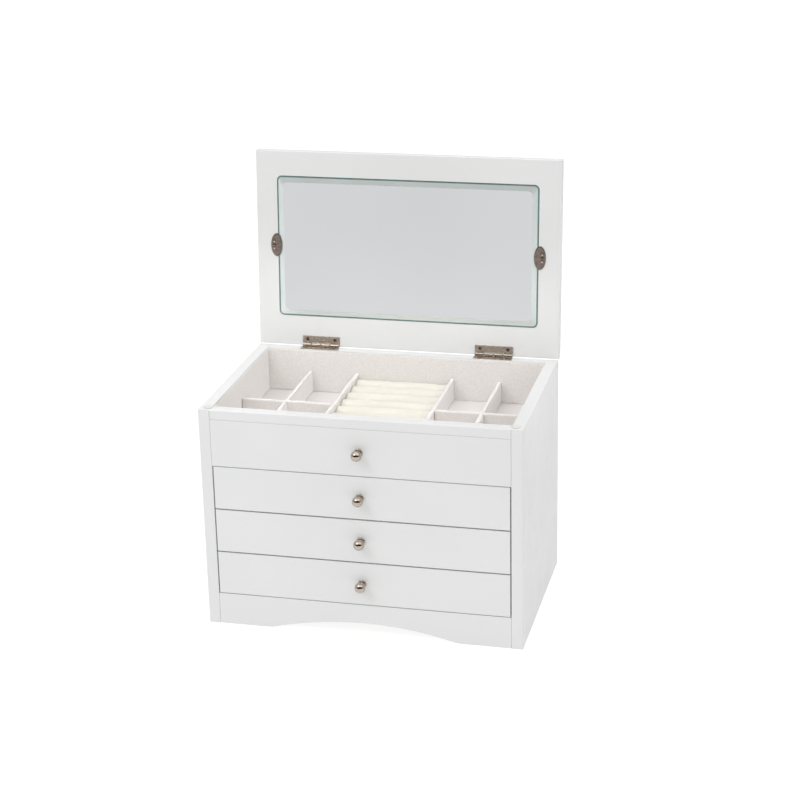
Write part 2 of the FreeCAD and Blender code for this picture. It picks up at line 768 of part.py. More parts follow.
def mirror_clip(side):
    """Oval plate: half lies on the wood, half steps over the mirror's edge."""
    way, from_back = CLIPS[side]
    x, y = clip_centre(way, from_back)
    proud = "(mirror - mirror_recess)"
    outline = doc.addObject("Part::Ellipse", f"clip_{side}_outline")
    bind(outline, "MajorRadius", "clip_half_length")
    bind(outline, "MinorRadius", "clip_half_width")
    outline.Placement = FreeCAD.Placement(
        FreeCAD.Vector(), FreeCAD.Rotation(FreeCAD.Vector(0, 0, 1), 90)
    )
    put(outline, (x, y, f"barrel_radius - {proud} - clip_plate"))
    plate = doc.addObject("Part::Extrusion", f"clip_{side}_plate")
    plate.Base = outline
    plate.DirMode = "Custom"
    plate.Dir = FreeCAD.Vector(0, 0, 1)
    plate.Solid = True
    bind(plate, "LengthFwd", f"{proud} + clip_plate")
    step = f"({MIRROR_HALF_WIDTH} + mirror_clearance / 2)"
    reach = "(2 * clip_half_width)"
    inside = f"{step} - {reach}" if way > 0 else f"-{step}"
    outside = f"{step} + clip_plate" if way > 0 else f"-{step} - clip_plate - {reach}"
    low = f"barrel_radius - {proud} - clip_plate"
    tools = {
        "over_mirror": ((inside, f"barrel_radius - {proud}"), (reach, proud)),
        "under_wood_side": ((outside, low), (reach, proud)),
    }
    shape = plate
    for name, ((tool_x, tool_z), (tool_width, tool_height)) in tools.items():
        tool = doc.addObject("Part::Box", f"clip_{side}_{name}")
        bind(tool, "Length", tool_width)
        bind(tool, "Width", "2 * clip_half_length")
        bind(tool, "Height", tool_height)
        put(tool, (tool_x, f"{y} - clip_half_length", tool_z))
        shape = cut(f"clip_{side}_cut_{name}", shape, tool)
    hole = doc.addObject("Part::Cylinder", f"clip_{side}_hole")
    bind(hole, "Radius", "clip_screw_radius + screw_clearance")
    bind(hole, "Height", "3 * clip_plate + mirror")
    put(hole, (f"{x} + {way} * clip_screw_offset", y, "barrel_radius - mirror"))
    shape = cut(f"mirror_clip_{side}", shape, hole)
    bind(shape, "Placement", LID)
    return shape


def cut(label, base, tool):
    result = doc.addObject("Part::Cut", label)
    result.Base = base
    result.Tool = tool
    result.Label = label
    return result


def clip_screws():
    body = new_body("mirror_clip_screws", LID)
    for x, y in clip_screw_places():
        rod(body, (x, y, "barrel_radius - clip_plate - clip_screw_head"),
            "clip_screw_head_radius", "clip_screw_head", "z")
        rod(body, (x, y, "barrel_radius - clip_plate"), "clip_screw_radius",
            "clip_screw_length", "z")
    ease(body, "clip_screw_head / 2", lambda edge, box: near(middle(edge).z, box.ZMin))


# ---- the whole object --------------------------------------------------------------------

cabinet()
false_middle_z = f"{FALSE_FRONT_Z} + false_front_height / 2"
knob("false_front_knob", false_middle_z)
knob_screw("false_front_knob_screw", false_middle_z)
tray()
rim_bumpers()
for number in range(DRAWERS):
    drawer(number)
hinges()
lid_board()
mirror()
CLIP_SHAPES = [mirror_clip(side) for side in CLIPS]
clip_screws()
doc.recompute()

sub_parts = [one for one in doc.Objects if one.TypeId == "PartDesign::Body"] + CLIP_SHAPES
faults = []
for one in doc.Objects:
    if "Invalid" in one.State or "Error" in one.State:
        faults.append(f"{one.Label}: {one.State}")
    if "Subtractive" in one.TypeId and one.Shape.Volume > one.BaseFeature.Shape.Volume - 0.01:
        faults.append(f"{one.Label} in {one.getParentGeoFeatureGroup().Label} cuts nothing")
for one in sub_parts:
    if one.Shape.isNull() or not one.Shape.isValid() or not one.Shape.Solids:
        faults.append(f"{one.Label}: bad shape")
if faults:
    raise SystemExit("\n".join(faults))

os.makedirs("parts", exist_ok=True)
for one in sub_parts:
    one.Shape.exportStep(f"parts/{one.Label}.step")
print(len(sub_parts), "sub-parts written")
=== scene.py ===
# %% [markdown]
# # A white jewellery box
# The cabinet, its drawers, the lid and the hinges come ready made from the frame, at their real
# size. This file gives each of them its finish, and makes in Blender what a CAD model leaves plain:
# felt, velvet rolls, turned knobs, folded hinge leaves, screws, the bevelled mirror and the pads.

# %% Load the frame
import json
import math

import bmesh
import bpy
from mathutils import Matrix, Vector, noise

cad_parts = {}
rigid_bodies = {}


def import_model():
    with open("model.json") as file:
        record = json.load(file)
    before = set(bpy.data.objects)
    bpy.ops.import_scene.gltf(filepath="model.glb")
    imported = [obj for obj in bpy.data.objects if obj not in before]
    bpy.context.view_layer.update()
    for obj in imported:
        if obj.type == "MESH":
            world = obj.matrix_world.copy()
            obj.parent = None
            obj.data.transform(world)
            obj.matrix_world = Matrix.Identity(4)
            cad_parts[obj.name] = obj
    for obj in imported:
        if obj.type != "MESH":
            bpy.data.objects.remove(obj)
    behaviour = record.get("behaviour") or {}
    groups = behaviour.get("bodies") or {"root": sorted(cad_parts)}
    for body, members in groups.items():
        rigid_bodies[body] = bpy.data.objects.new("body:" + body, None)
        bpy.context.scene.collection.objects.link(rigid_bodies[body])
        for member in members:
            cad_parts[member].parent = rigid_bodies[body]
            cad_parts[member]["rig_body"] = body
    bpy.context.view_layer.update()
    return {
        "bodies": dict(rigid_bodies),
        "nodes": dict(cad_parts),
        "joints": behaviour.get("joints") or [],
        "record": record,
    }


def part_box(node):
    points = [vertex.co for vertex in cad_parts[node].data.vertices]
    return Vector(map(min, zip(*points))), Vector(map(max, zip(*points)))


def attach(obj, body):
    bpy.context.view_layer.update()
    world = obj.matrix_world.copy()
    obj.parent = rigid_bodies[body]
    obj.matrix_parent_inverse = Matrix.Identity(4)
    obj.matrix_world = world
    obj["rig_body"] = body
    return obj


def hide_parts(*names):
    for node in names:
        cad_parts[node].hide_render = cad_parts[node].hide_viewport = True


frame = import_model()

NODES = frame["nodes"]
MM = 0.001

# %% [markdown]
# ## Camera
# The view is from well back through a long lens, so the box shows little perspective. The camera
# looks down on the box's front from a little to its right. Its place is written as a distance
# from the foot of the cabinet's front face, which the frame gives.

# %% Camera
CABINET_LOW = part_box("left_side_panel")[0]
FRONT_Y = CABINET_LOW.y
CAMERA_FROM_FRONT = Vector((0.4827, -1.7789, 0.9283))
CAMERA_TURN, CAMERA_DOWN, CAMERA_ROLL = 13.866, 20.078, -1.273
LENS, SENSOR = 90.4, 36.0
FARTHEST = 100.0


def camera():
    data = bpy.data.cameras.new("camera")
    data.lens = LENS
    data.sensor_width = SENSOR
    data.clip_end = FARTHEST
    viewer = bpy.data.objects.new("camera", data)
    bpy.context.scene.collection.objects.link(viewer)
    turn = Matrix.Rotation(math.radians(CAMERA_TURN), 4, "Z")
    tip = Matrix.Rotation(math.radians(90.0 - CAMERA_DOWN), 4, "X")
    roll = Matrix.Rotation(math.radians(CAMERA_ROLL), 4, "Z")
    place = Matrix.Translation(CAMERA_FROM_FRONT + Vector((0.0, FRONT_Y, 0.0)))
    viewer.matrix_world = place @ turn @ tip @ roll
    bpy.context.scene.camera = viewer


camera()
bpy.context.scene.view_settings.view_transform = "Standard"
print("camera at", tuple(round(c, 3) for c in bpy.context.scene.camera.matrix_world.translation))

# %% [markdown]
# ## Light and floor
# White lacquer on white paper needs light from all round, or its faces fall to grey. A pale sky
# that is brighter overhead does most of the work, so the tops of things are lighter than their
# sides. Two softboxes stand high to the left and right for the metal to reflect, a small one looks
# into the tray, another lights the foot of the lid without showing in the mirror, and a narrow beam
# from the right reaches the tray's left wall over its right one. A black flag, which only
# reflections see, is the dark side of the studio behind the camera. One beside the box, which only
# matte surfaces see, keeps its right side a shade under its front.

# %% Light and floor
SKY_AT_HORIZON, SKY_OVERHEAD = 0.28, 1.57
FLOOR_SIZE = 30.0
FLOOR_GREY, FLOOR_GLOW = (0.35, 0.35, 0.35), 0.74
PAPER_ROUGHNESS = 0.9
FLAG_BLACK, FLAG_FOOT = (0.03, 0.025, 0.02), 0.1
WHITE = (1.0, 1.0, 1.0, 1.0)
ALL_ROUND = 180.0


def world():
    made = bpy.data.worlds.new("studio")
    made.use_nodes = True
    links = made.node_tree.links
    sky = made.node_tree.nodes["Background"]
    place = made.node_tree.nodes.new("ShaderNodeTexCoord")
    split = made.node_tree.nodes.new("ShaderNodeSeparateXYZ")
    height = made.node_tree.nodes.new("ShaderNodeMapRange")
    height.inputs["To Min"].default_value = SKY_AT_HORIZON
    height.inputs["To Max"].default_value = SKY_OVERHEAD
    links.new(place.outputs["Generated"], split.inputs["Vector"])
    links.new(split.outputs["Z"], height.inputs["Value"])
    links.new(height.outputs["Result"], sky.inputs["Strength"])
    sky.inputs["Color"].default_value = WHITE
    bpy.context.scene.world = made


def softbox(name, place, aim, size, watts, spread=ALL_ROUND, reflected=True):
    """A rectangular lamp; the spread is in degrees, and mirrors show it where it is reflected."""
    data = bpy.data.lights.new(name, "AREA")
    data.shape = "RECTANGLE"
    data.size, data.size_y = size
    data.energy = watts
    data.spread = math.radians(spread)
    lamp = bpy.data.objects.new(name, data)
    bpy.context.scene.collection.objects.link(lamp)
    lamp.visible_camera = False
    lamp.visible_glossy = reflected
    lamp.location = place
    lamp.rotation_mode = "QUATERNION"
    lamp.rotation_quaternion = (Vector(aim) - Vector(place)).to_track_quat("-Z", "Y")


def sheet_of_paper(name, corners, color, glow):
    """A flat matte sheet of four corners, which may glow white by itself."""
    mesh = bpy.data.meshes.new(name)
    mesh.from_pydata(corners, [], [(0, 1, 2, 3)])
    made = bpy.data.objects.new(name, mesh)
    bpy.context.scene.collection.objects.link(made)
    paper = bpy.data.materials.new(name)
    paper.use_nodes = True
    shader = paper.node_tree.nodes["Principled BSDF"]
    shader.inputs["Base Color"].default_value = (*color, 1.0)
    shader.inputs["Roughness"].default_value = PAPER_ROUGHNESS
    shader.inputs["Specular IOR Level"].default_value = 0.0
    shader.inputs["Emission Color"].default_value = WHITE
    shader.inputs["Emission Strength"].default_value = glow
    mesh.materials.append(paper)
    return made


def floor():
    half = FLOOR_SIZE / 2
    corners = [(-half, -half, 0), (half, -half, 0), (half, half, 0), (-half, half, 0)]
    sheet_of_paper("floor", corners, FLOOR_GREY, FLOOR_GLOW)


def black_flag(name, start, end, height, seen_by):
    """A dark wall that one kind of ray sees; it lights nothing and casts no shadow."""
    corners = [(*start, FLAG_FOOT), (*end, FLAG_FOOT), (*end, height), (*start, height)]
    flag = sheet_of_paper(name, corners, FLAG_BLACK, 0.0)
    flag.visible_camera = False
    flag.visible_diffuse = seen_by == "diffuse"
    flag.visible_glossy = seen_by == "glossy"
    flag.visible_transmission = False
    flag.visible_shadow = False


world()
MIDDLE = Vector((0.0, 0.0, 0.2))
softbox("left_softbox", place=MIDDLE + Vector((-1.0, -1.35, 1.6)), aim=MIDDLE,
        size=(0.75, 0.75), watts=8.1)
softbox("right_softbox", place=MIDDLE + Vector((1.4, -0.75, 1.6)), aim=MIDDLE,
        size=(0.5, 0.5), watts=0.7)
softbox("tray_softbox", place=(0.36, -0.05, 0.85), aim=(-0.08, 0.0, 0.22),
        size=(0.30, 0.10), watts=0.09)
softbox("lid_softbox", place=(0.0, -0.12, 0.37), aim=(0.0, 0.1, 0.275),
        size=(0.34, 0.04), watts=0.032, spread=48.0, reflected=False)
softbox("side_beam", place=(0.90, -0.08, 0.75), aim=(-0.13, 0.0, 0.22),
        size=(0.10, 0.10), watts=0.051, spread=22.0, reflected=False)
floor()
black_flag("black_flag", start=(-5.5, -4.0), end=(6.5, -2.6), height=3.1, seen_by="glossy")
black_flag("side_flag", start=(1.2, -0.8), end=(1.2, 1.4), height=0.75, seen_by="diffuse")

# %% [markdown]
# ## Finishes
# Every finish is a Principled shader on Object coordinates. Constants are set on the shader, and
# noise drives only what really varies over the surface.

# %% Finish helpers
PATTERN_LOW, PATTERN_HIGH = 0.3, 0.7


def finish(name, **values):
    """A new material whose shader sockets have these constant values."""
    made = bpy.data.materials.new(name)
    made.use_nodes = True
    shader = made.node_tree.nodes["Principled BSDF"]
    for socket, value in values.items():
        shader.inputs[socket.replace("_", " ")].default_value = value
    return made


def node(made, kind):
    return made.node_tree.nodes.new(kind)


def join(made, start, end):
    made.node_tree.links.new(start, end)


def shader_of(made):
    return made.node_tree.nodes["Principled BSDF"]


def grain(made, scale, detail=2.0, stretch=(1.0, 1.0, 1.0)):
    """Noise on Object coordinates; scale is how many patches fit in a metre."""
    place = node(made, "ShaderNodeTexCoord")
    fit = node(made, "ShaderNodeMapping")
    fit.inputs["Scale"].default_value = stretch
    pattern = node(made, "ShaderNodeTexNoise")
    pattern.inputs["Scale"].default_value = scale
    pattern.inputs["Detail"].default_value = detail
    join(made, place.outputs["Object"], fit.inputs["Vector"])
    join(made, fit.outputs["Vector"], pattern.inputs["Vector"])
    return pattern.outputs["Fac"]


def vary_roughness(made, fac, low, high):
    """Roughness from low to high with the pattern."""
    scaled = node(made, "ShaderNodeMapRange")
    scaled.inputs["From Min"].default_value = PATTERN_LOW
    scaled.inputs["From Max"].default_value = PATTERN_HIGH
    scaled.inputs["To Min"].default_value = low
    scaled.inputs["To Max"].default_value = high
    join(made, fac, scaled.inputs["Value"])
    join(made, scaled.outputs["Result"], shader_of(made).inputs["Roughness"])


def blend(made, fac, low, high):
    """Base colour from low to high with the pattern."""
    ramp = node(made, "ShaderNodeValToRGB")
    first, last = ramp.color_ramp.elements
    first.position, first.color = PATTERN_LOW, (*low, 1.0)
    last.position, last.color = PATTERN_HIGH, (*high, 1.0)
    join(made, fac, ramp.inputs["Fac"])
    join(made, ramp.outputs["Color"], shader_of(made).inputs["Base Color"])


def relief(made, fac, depth, strength, under=None):
    """Bump of this depth in metres, added to the relief under it."""
    bump = node(made, "ShaderNodeBump")
    bump.inputs["Distance"].default_value = depth
    bump.inputs["Strength"].default_value = strength
    join(made, fac, bump.inputs["Height"])
    if under is not None:
        join(made, under, bump.inputs["Normal"])
    join(made, bump.outputs["Normal"], shader_of(made).inputs["Normal"])
    return bump.outputs["Normal"]


# %% [markdown]
# ## Boards
# The case, the fronts and the lid are fibreboard sprayed with white satin lacquer. Spraying leaves
# a very faint orange peel and a sheen that wanders a little, so noise drives the roughness and a
# shallow bump. The boards that nobody sees are painted matte and thinly.

# %% Board finishes


def white_lacquer():
    made = finish("white_lacquer", Specular_IOR_Level=0.45)
    blend(made, grain(made, 7.0), (0.705, 0.710, 0.706), (0.735, 0.739, 0.735))
    vary_roughness(made, grain(made, 60.0), 0.30, 0.40)
    waves = relief(made, grain(made, 26.0), depth=0.2 * MM, strength=0.25)
    relief(made, grain(made, 420.0), depth=0.06 * MM, strength=0.35, under=waves)
    return made


def inner_board():
    made = finish("inner_board", Specular_IOR_Level=0.3)
    blend(made, grain(made, 30.0, 4.0), (0.60, 0.595, 0.57), (0.67, 0.665, 0.64))
    vary_roughness(made, grain(made, 200.0), 0.55, 0.75)
    relief(made, grain(made, 1500.0, 4.0), depth=0.2 * MM, strength=0.3)
    return made


BOARDS = {"white_lacquer": white_lacquer(), "inner_board": inner_board()}
painted = [sub for sub in frame["record"]["subparts"] if sub["material_slot"] in BOARDS]
for sub in painted:
    mesh = NODES[sub["node"]].data
    mesh.materials.clear()
    mesh.materials.append(BOARDS[sub["material_slot"]])
print("boards", len(painted))

# %% [markdown]
# ## Making pieces
# A few helpers serve every piece. One links a mesh, one lets the modifiers work and keeps their
# result as the piece's own mesh, and one hands the piece over: its finish, the CAD body that it
# rides on, and the CAD nodes that it stands for.

# %% Piece helpers
BODY_OF = {name: cad_node["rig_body"] for name, cad_node in NODES.items()}


def piece_of(name, vertices, faces):
    mesh = bpy.data.meshes.new(name)
    mesh.from_pydata(vertices, [], faces)
    made = bpy.data.objects.new(name, mesh)
    bpy.context.scene.collection.objects.link(made)
    return made


def settle(piece):
    """Keeps what the modifiers make as the piece's own mesh."""
    graph = bpy.context.evaluated_depsgraph_get()
    result = bpy.data.meshes.new_from_object(piece.evaluated_get(graph))
    piece.modifiers.clear()
    piece.data = result


def shade(piece, sharpest=35.0):
    """Smooth shading, with edges kept sharp where faces meet at more than this angle in degrees."""
    piece.data.shade_smooth()
    piece.data.set_sharp_from_angle(angle=math.radians(sharpest))


def hand_over(piece, slot, nodes, *finishes):
    """Gives the piece its finishes, and stands it in for these CAD nodes on their body."""
    for each in finishes:
        piece.data.materials.append(each)
    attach(piece, BODY_OF[nodes[0]])
    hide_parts(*nodes)
    print(piece.name, len(piece.data.polygons), "faces for", ", ".join(nodes))


def cut_away(piece, cutter):
    """Takes the cutter's shape out of the piece, and then removes the cutter."""
    cut = piece.modifiers.new("cut", "BOOLEAN")
    cut.operation = "DIFFERENCE"
    cut.solver = "EXACT"
    cut.object = cutter
    settle(piece)
    bpy.data.objects.remove(cutter)


def thicken(piece, gauge):
    """Gives a sheet its gauge, half of it to each side."""
    wall = piece.modifiers.new("gauge", "SOLIDIFY")
    wall.thickness = gauge
    wall.offset = 0.0
    settle(piece)


def bevel(piece, width, steps=2):
    """Rounds the edges where faces meet at an angle."""
    rounding = piece.modifiers.new("rounding", "BEVEL")
    rounding.width = width
    rounding.segments = steps
    rounding.limit_method = "ANGLE"
    settle(piece)


# %% [markdown]
# ## Felt
# The tray and the drawers are lined with card panels wrapped in short flocked felt. A flat box
# would look like plastic: felt has no hard edge, and its surface is never quite flat. So each panel
# is a block whose edges are pulled onto an arc, with a very low swell worked into its faces. The
# fibres themselves are too fine to model, and are noise in the finish.

# %% Felt finish


def felt():
    made = finish("felt", Roughness=1.0, Specular_IOR_Level=0.08,
                  Sheen_Weight=0.25, Sheen_Roughness=0.6)
    blend(made, grain(made, 700.0, 6.0), (0.735, 0.707, 0.688), (0.825, 0.797, 0.777))
    fuzz = relief(made, grain(made, 1900.0, 5.0), depth=0.3 * MM, strength=0.55)
    relief(made, grain(made, 90.0), depth=0.4 * MM, strength=0.2, under=fuzz)
    return made


FELT = felt()

# %% Rounded felt blocks
ARC_STEPS = 3
SWELL = 0.12 * MM
SWELL_SCALE = 45.0
ALL_SMOOTH = 180.0


def stops(low, high, radius, step):
    """Places of the grid lines along one side: close together on the arcs, then every step."""
    arc = [radius * math.tan(math.pi / 4 * turn / ARC_STEPS) for turn in range(1, ARC_STEPS + 1)]
    start = [low + radius - reach for reach in reversed(arc)]
    end = [high - radius + reach for reach in arc]
    room = high - low - 2 * radius
    count = max(1, round(room / step))
    return start + [low + radius + room * part / count for part in range(count + 1)] + end


def rounded(point, low, high, radius):
    """The point of the block's surface, moved onto the arc of the nearest edge or corner."""
    core = Vector(min(max(p, a + radius), b - radius) for p, a, b in zip(point, low, high))
    outward = (point - core).normalized()
    sunk = SWELL * (0.5 + 0.5 * noise.noise(point * SWELL_SCALE))
    return core + outward * (radius - sunk)


def felt_block(low, high, radius, step, vertices, faces):
    """Adds a closed block with rounded edges to the lists of vertices and faces."""
    lines = [stops(a, b, radius, step) for a, b in zip(low, high)]
    numbers = {}

    def number(key):
        if key not in numbers:
            numbers[key] = len(vertices)
            corner = Vector(lines[axis][at] for axis, at in enumerate(key))
            vertices.append(rounded(corner, low, high, radius))
        return numbers[key]

    for axis in range(3):
        across, along = (axis + 1) % 3, (axis + 2) % 3
        last = len(lines[axis]) - 1
        for end in (0, last):
            for i in range(len(lines[across]) - 1):
                for j in range(len(lines[along]) - 1):
                    face = []
                    for step_i, step_j in ((0, 0), (1, 0), (1, 1), (0, 1)):
                        key = [end, end, end]
                        key[across] = i + step_i
                        key[along] = j + step_j
                        face.append(number(tuple(key)))
                    faces.append(face if end == last else face[::-1])


def felt_piece(name, blocks, radius, step):
    """One piece made of rounded felt blocks, each given by its low and high corner."""
    vertices, faces = [], []
    for low, high in blocks:
        felt_block(low, high, radius, step, vertices, faces)
    made = piece_of(name, vertices, faces)
    shade(made, ALL_SMOOTH)
    return made


# %% Tray linings
CARD_EDGE = 0.55 * MM
LINING_STEP = 5.0 * MM
TRAY_LININGS = ["tray_floor_felt", "tray_liner_front", "tray_liner_back"]
TRAY_LININGS += ["tray_liner_left", "tray_liner_right"]
for node_name in TRAY_LININGS:
    lining = felt_piece(f"{node_name}_panel", [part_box(node_name)], CARD_EDGE, LINING_STEP)
    hand_over(lining, "felt", [node_name], FELT)

# %% [markdown]
# Where two dividers cross, each is cut half through so that they slot together, as the cardboard
# dividers of a wine case do. The cut is a boolean with a small block, placed where the boxes of
# the two dividers meet.

# %% Dividers
DIVIDER_EDGE = 1.7 * MM
DIVIDER_STEP = 3.0 * MM
DIVIDER_SHARP = 40.0
LAP = 0.1 * MM
CUT_PAST = 1.0 * MM
CROSSINGS = {
    "tray_divider_left_inner": None,
    "tray_divider_right_inner": None,
    "tray_divider_left_outer": "cross_divider_left",
    "tray_divider_right_outer": "cross_divider_right",
    "cross_divider_left": "tray_divider_left_outer",
    "cross_divider_right": "tray_divider_right_outer",
}


def cut_lap(piece, own, other):
    """Cuts the notch where the other divider crosses: the upper half in the long dividers."""
    low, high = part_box(own)
    other_low, other_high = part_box(other)
    half = (low.z + high.z) / 2
    start, end = low.copy(), high.copy()
    narrow, cross = (0, 1) if own.startswith("tray") else (1, 0)
    start[cross], end[cross] = other_low[cross] - LAP, other_high[cross] + LAP
    start[narrow] -= CUT_PAST
    end[narrow] += CUT_PAST
    if own.startswith("tray"):
        start.z, end.z = half, high.z + CUT_PAST
    else:
        start.z, end.z = low.z - CUT_PAST, half
    corners = [(x, y, z) for x in (start.x, end.x) for y in (start.y, end.y) for z in (start.z, end.z)]
    sides = [(0, 1, 3, 2), (4, 6, 7, 5), (0, 4, 5, 1), (2, 3, 7, 6), (0, 2, 6, 4), (1, 5, 7, 3)]
    cut_away(piece, piece_of("cutter", corners, sides))


for node_name, crossed in CROSSINGS.items():
    divider = felt_piece(f"{node_name}_wrapped", [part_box(node_name)], DIVIDER_EDGE, DIVIDER_STEP)
    if crossed:
        cut_lap(divider, node_name, crossed)
    shade(divider, DIVIDER_SHARP)
    hand_over(divider, "felt", [node_name], FELT)

# %% Drawer linings


def lining_blocks(node_name, thick):
    """A floor and four walls, which stand on the floor and butt at the corners."""
    low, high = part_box(node_name)
    floor_top = low.z + thick
    back_y, front_y = high.y - thick, low.y + thick
    left_x, right_x = low.x + thick, high.x - thick
    return [
        (low, Vector((high.x, high.y, floor_top))),
        (Vector((low.x, low.y, floor_top)), Vector((high.x, front_y, high.z))),
        (Vector((low.x, back_y, floor_top)), high),
        (Vector((low.x, front_y, floor_top)), Vector((left_x, back_y, high.z))),
        (Vector((right_x, front_y, floor_top)), Vector((high.x, back_y, high.z))),
    ]


DRAWERS = [body for body in frame["bodies"] if body.startswith("drawer")]
FELT_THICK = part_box("tray_floor_felt")[1].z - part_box("tray_floor_felt")[0].z
for drawer in DRAWERS:
    node_name = f"{drawer}_felt_liner"
    blocks = lining_blocks(node_name, FELT_THICK)
    lining = felt_piece(f"{drawer}_lining", blocks, CARD_EDGE, LINING_STEP)
    hand_over(lining, "felt", [node_name], FELT)

# %% [markdown]
# ## Ring rolls
# Nine foam rolls wrapped in cream velvet lie side by side, and a ring is pushed down between two of
# them. A stuffed roll is crowned between its glued ends, and its cloth puckers a little. That is
# what a cloth simulation does well: Geometry Nodes lay out slightly thin rolls, air pressure fills
# them out, and the ends and the undersides, which are glued down, stay where they are.

# %% Velvet finish


def ring_velvet():
    made = finish("ring_velvet", Roughness=1.0, Specular_IOR_Level=0.08,
                  Sheen_Weight=0.35, Sheen_Roughness=0.45)
    blend(made, grain(made, 60.0, 4.0, (0.4, 1.0, 1.0)), (0.72, 0.694, 0.62), (0.775, 0.752, 0.685))
    pile = relief(made, grain(made, 1500.0, 5.0), depth=0.25 * MM, strength=0.5)
    creases = grain(made, 120.0, stretch=(0.5, 1.0, 1.0))
    relief(made, creases, depth=0.4 * MM, strength=0.35, under=pile)
    return made


VELVET = ring_velvet()

# %% Geometry Nodes helpers


def new_tree(name, **inputs):
    """A Geometry Nodes tree with a geometry in and out, and named inputs of these kinds."""
    tree = bpy.data.node_groups.new(name, "GeometryNodeTree")
    tree.interface.new_socket("Geometry", in_out="INPUT", socket_type="NodeSocketGeometry")
    for label, kind in inputs.items():
        words = label.replace("_", " ")
        tree.interface.new_socket(words, in_out="INPUT", socket_type=f"NodeSocket{kind}")
    tree.interface.new_socket("Geometry", in_out="OUTPUT", socket_type="NodeSocketGeometry")
    return tree


def add(tree, kind, inputs=(), **settings):
    """A node with these settings, and its inputs joined to a socket or set to a value."""
    added = tree.nodes.new(kind)
    for name, value in settings.items():
        setattr(added, name, value)
    for name, value in dict(inputs).items():
        if isinstance(value, bpy.types.NodeSocket):
            tree.links.new(value, added.inputs[name])
        else:
            added.inputs[name].default_value = value
    return added


def run_tree(piece, tree, values):
    """Gives the tree its values by socket identifier, then keeps its result as the mesh."""
    growth = piece.modifiers.new(tree.name, "NODES")
    growth.node_group = tree
    for socket in tree.interface.items_tree:
        if socket.in_out == "INPUT" and socket.name in values:
            growth[socket.identifier] = values[socket.name]
    settle(piece)


# %% Row of rolls
ROLL_LOW, ROLL_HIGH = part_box("ring_rolls")
ROLL_RADIUS = (ROLL_HIGH.z - ROLL_LOW.z) / 2
ROLL_SLACK = 0.45 * MM
END_SLACK = 0.3 * MM
ROLL_SPOKES, ROLL_RINGS, END_RINGS = 40, 44, 6


def roll_tree():
    tree = new_tree("row_of_rolls", Count="Int", Pitch="Vector", Radius="Float", Length="Float",
                    Start="Vector", Finish="Material")
    given = add(tree, "NodeGroupInput").outputs
    line = add(tree, "GeometryNodeMeshLine",
               {"Count": given["Count"], "Start Location": given["Start"], "Offset": given["Pitch"]})
    tube = add(tree, "GeometryNodeMeshCylinder",
               {"Vertices": ROLL_SPOKES, "Side Segments": ROLL_RINGS, "Fill Segments": END_RINGS,
                "Radius": given["Radius"], "Depth": given["Length"]})
    laid = add(tree, "GeometryNodeTransform",
               {"Geometry": tube.outputs["Mesh"], "Rotation": (0.0, math.pi / 2, 0.0)})
    rolls = add(tree, "GeometryNodeInstanceOnPoints",
                {"Points": line.outputs["Mesh"], "Instance": laid.outputs["Geometry"]})
    real = add(tree, "GeometryNodeRealizeInstances", {"Geometry": rolls.outputs["Instances"]})
    painted = add(tree, "GeometryNodeSetMaterial",
                  {"Geometry": real.outputs["Geometry"], "Material": given["Finish"]})
    add(tree, "NodeGroupOutput", {"Geometry": painted.outputs["Geometry"]})
    return tree


ROLL_ROOM = ROLL_HIGH.y - ROLL_LOW.y
ROLLS = round(ROLL_ROOM / (2 * ROLL_RADIUS))
ROLL_PITCH = (ROLL_ROOM - 2 * ROLL_RADIUS) / (ROLLS - 1)
ring_pad = piece_of("ring_rolls_velvet", [], [])
run_tree(ring_pad, roll_tree(), {
    "Count": ROLLS,
    "Pitch": Vector((0.0, ROLL_PITCH, 0.0)),
    "Radius": ROLL_RADIUS - ROLL_SLACK,
    "Length": ROLL_HIGH.x - ROLL_LOW.x - 2 * END_SLACK,
    "Start": Vector((0.0, ROLL_LOW.y + ROLL_RADIUS, ROLL_LOW.z + ROLL_RADIUS)),
    "Finish": VELVET,
})
print("rolls", ROLLS, "pitch", round(ROLL_PITCH / MM, 2), "mm", len(ring_pad.data.polygons), "faces")

# %% [markdown]
# The solver is tuned for things a person could sit on, so the rolls are simulated ten times too
# large and brought back. No point may end further from where it began than the foam allows.

# %% Fill the rolls
SIM_SCALE = 10.0
SIM_FRAMES = 20
PRESSURE = 4.0
GROWTH = -0.02
GLUED_BELOW = 0.6


def glued(piece):
    """The vertices of the ends and undersides, which don't move."""
    middle_z = ROLL_LOW.z + ROLL_RADIUS
    below = middle_z - GLUED_BELOW * ROLL_RADIUS
    half = (ROLL_HIGH.x - ROLL_LOW.x) / 2 - 2 * END_SLACK
    return [v.index for v in piece.data.vertices if v.co.z < below or abs(v.co.x) > half]


def fill_with_air(piece, most):
    """Swells the piece with the cloth solver; no vertex moves further than the most allowed."""
    before = [vertex.co.copy() for vertex in piece.data.vertices]
    held = piece.vertex_groups.new(name="glued")
    held.add(glued(piece), 1.0, "REPLACE")
    piece.data.transform(Matrix.Scale(SIM_SCALE, 4))
    cloth = piece.modifiers.new("cloth", "CLOTH")
    cloth.settings.vertex_group_mass = "glued"
    cloth.settings.use_pressure = True
    cloth.settings.uniform_pressure_force = PRESSURE
    cloth.settings.shrink_min = GROWTH
    cloth.settings.effector_weights.gravity = 0.0
    cloth.point_cache.frame_end = SIM_FRAMES
    for moment in range(1, SIM_FRAMES + 1):
        bpy.context.scene.frame_set(moment)
    settle(piece)
    bpy.context.scene.frame_set(1)
    piece.data.transform(Matrix.Scale(1.0 / SIM_SCALE, 4))
    furthest = 0.0
    for vertex, start in zip(piece.data.vertices, before):
        move = vertex.co - start
        furthest = max(furthest, move.length)
        if move.length > most:
            vertex.co = start + move * (most / move.length)
    print("cloth moved up to", round(furthest / MM, 2), "mm")


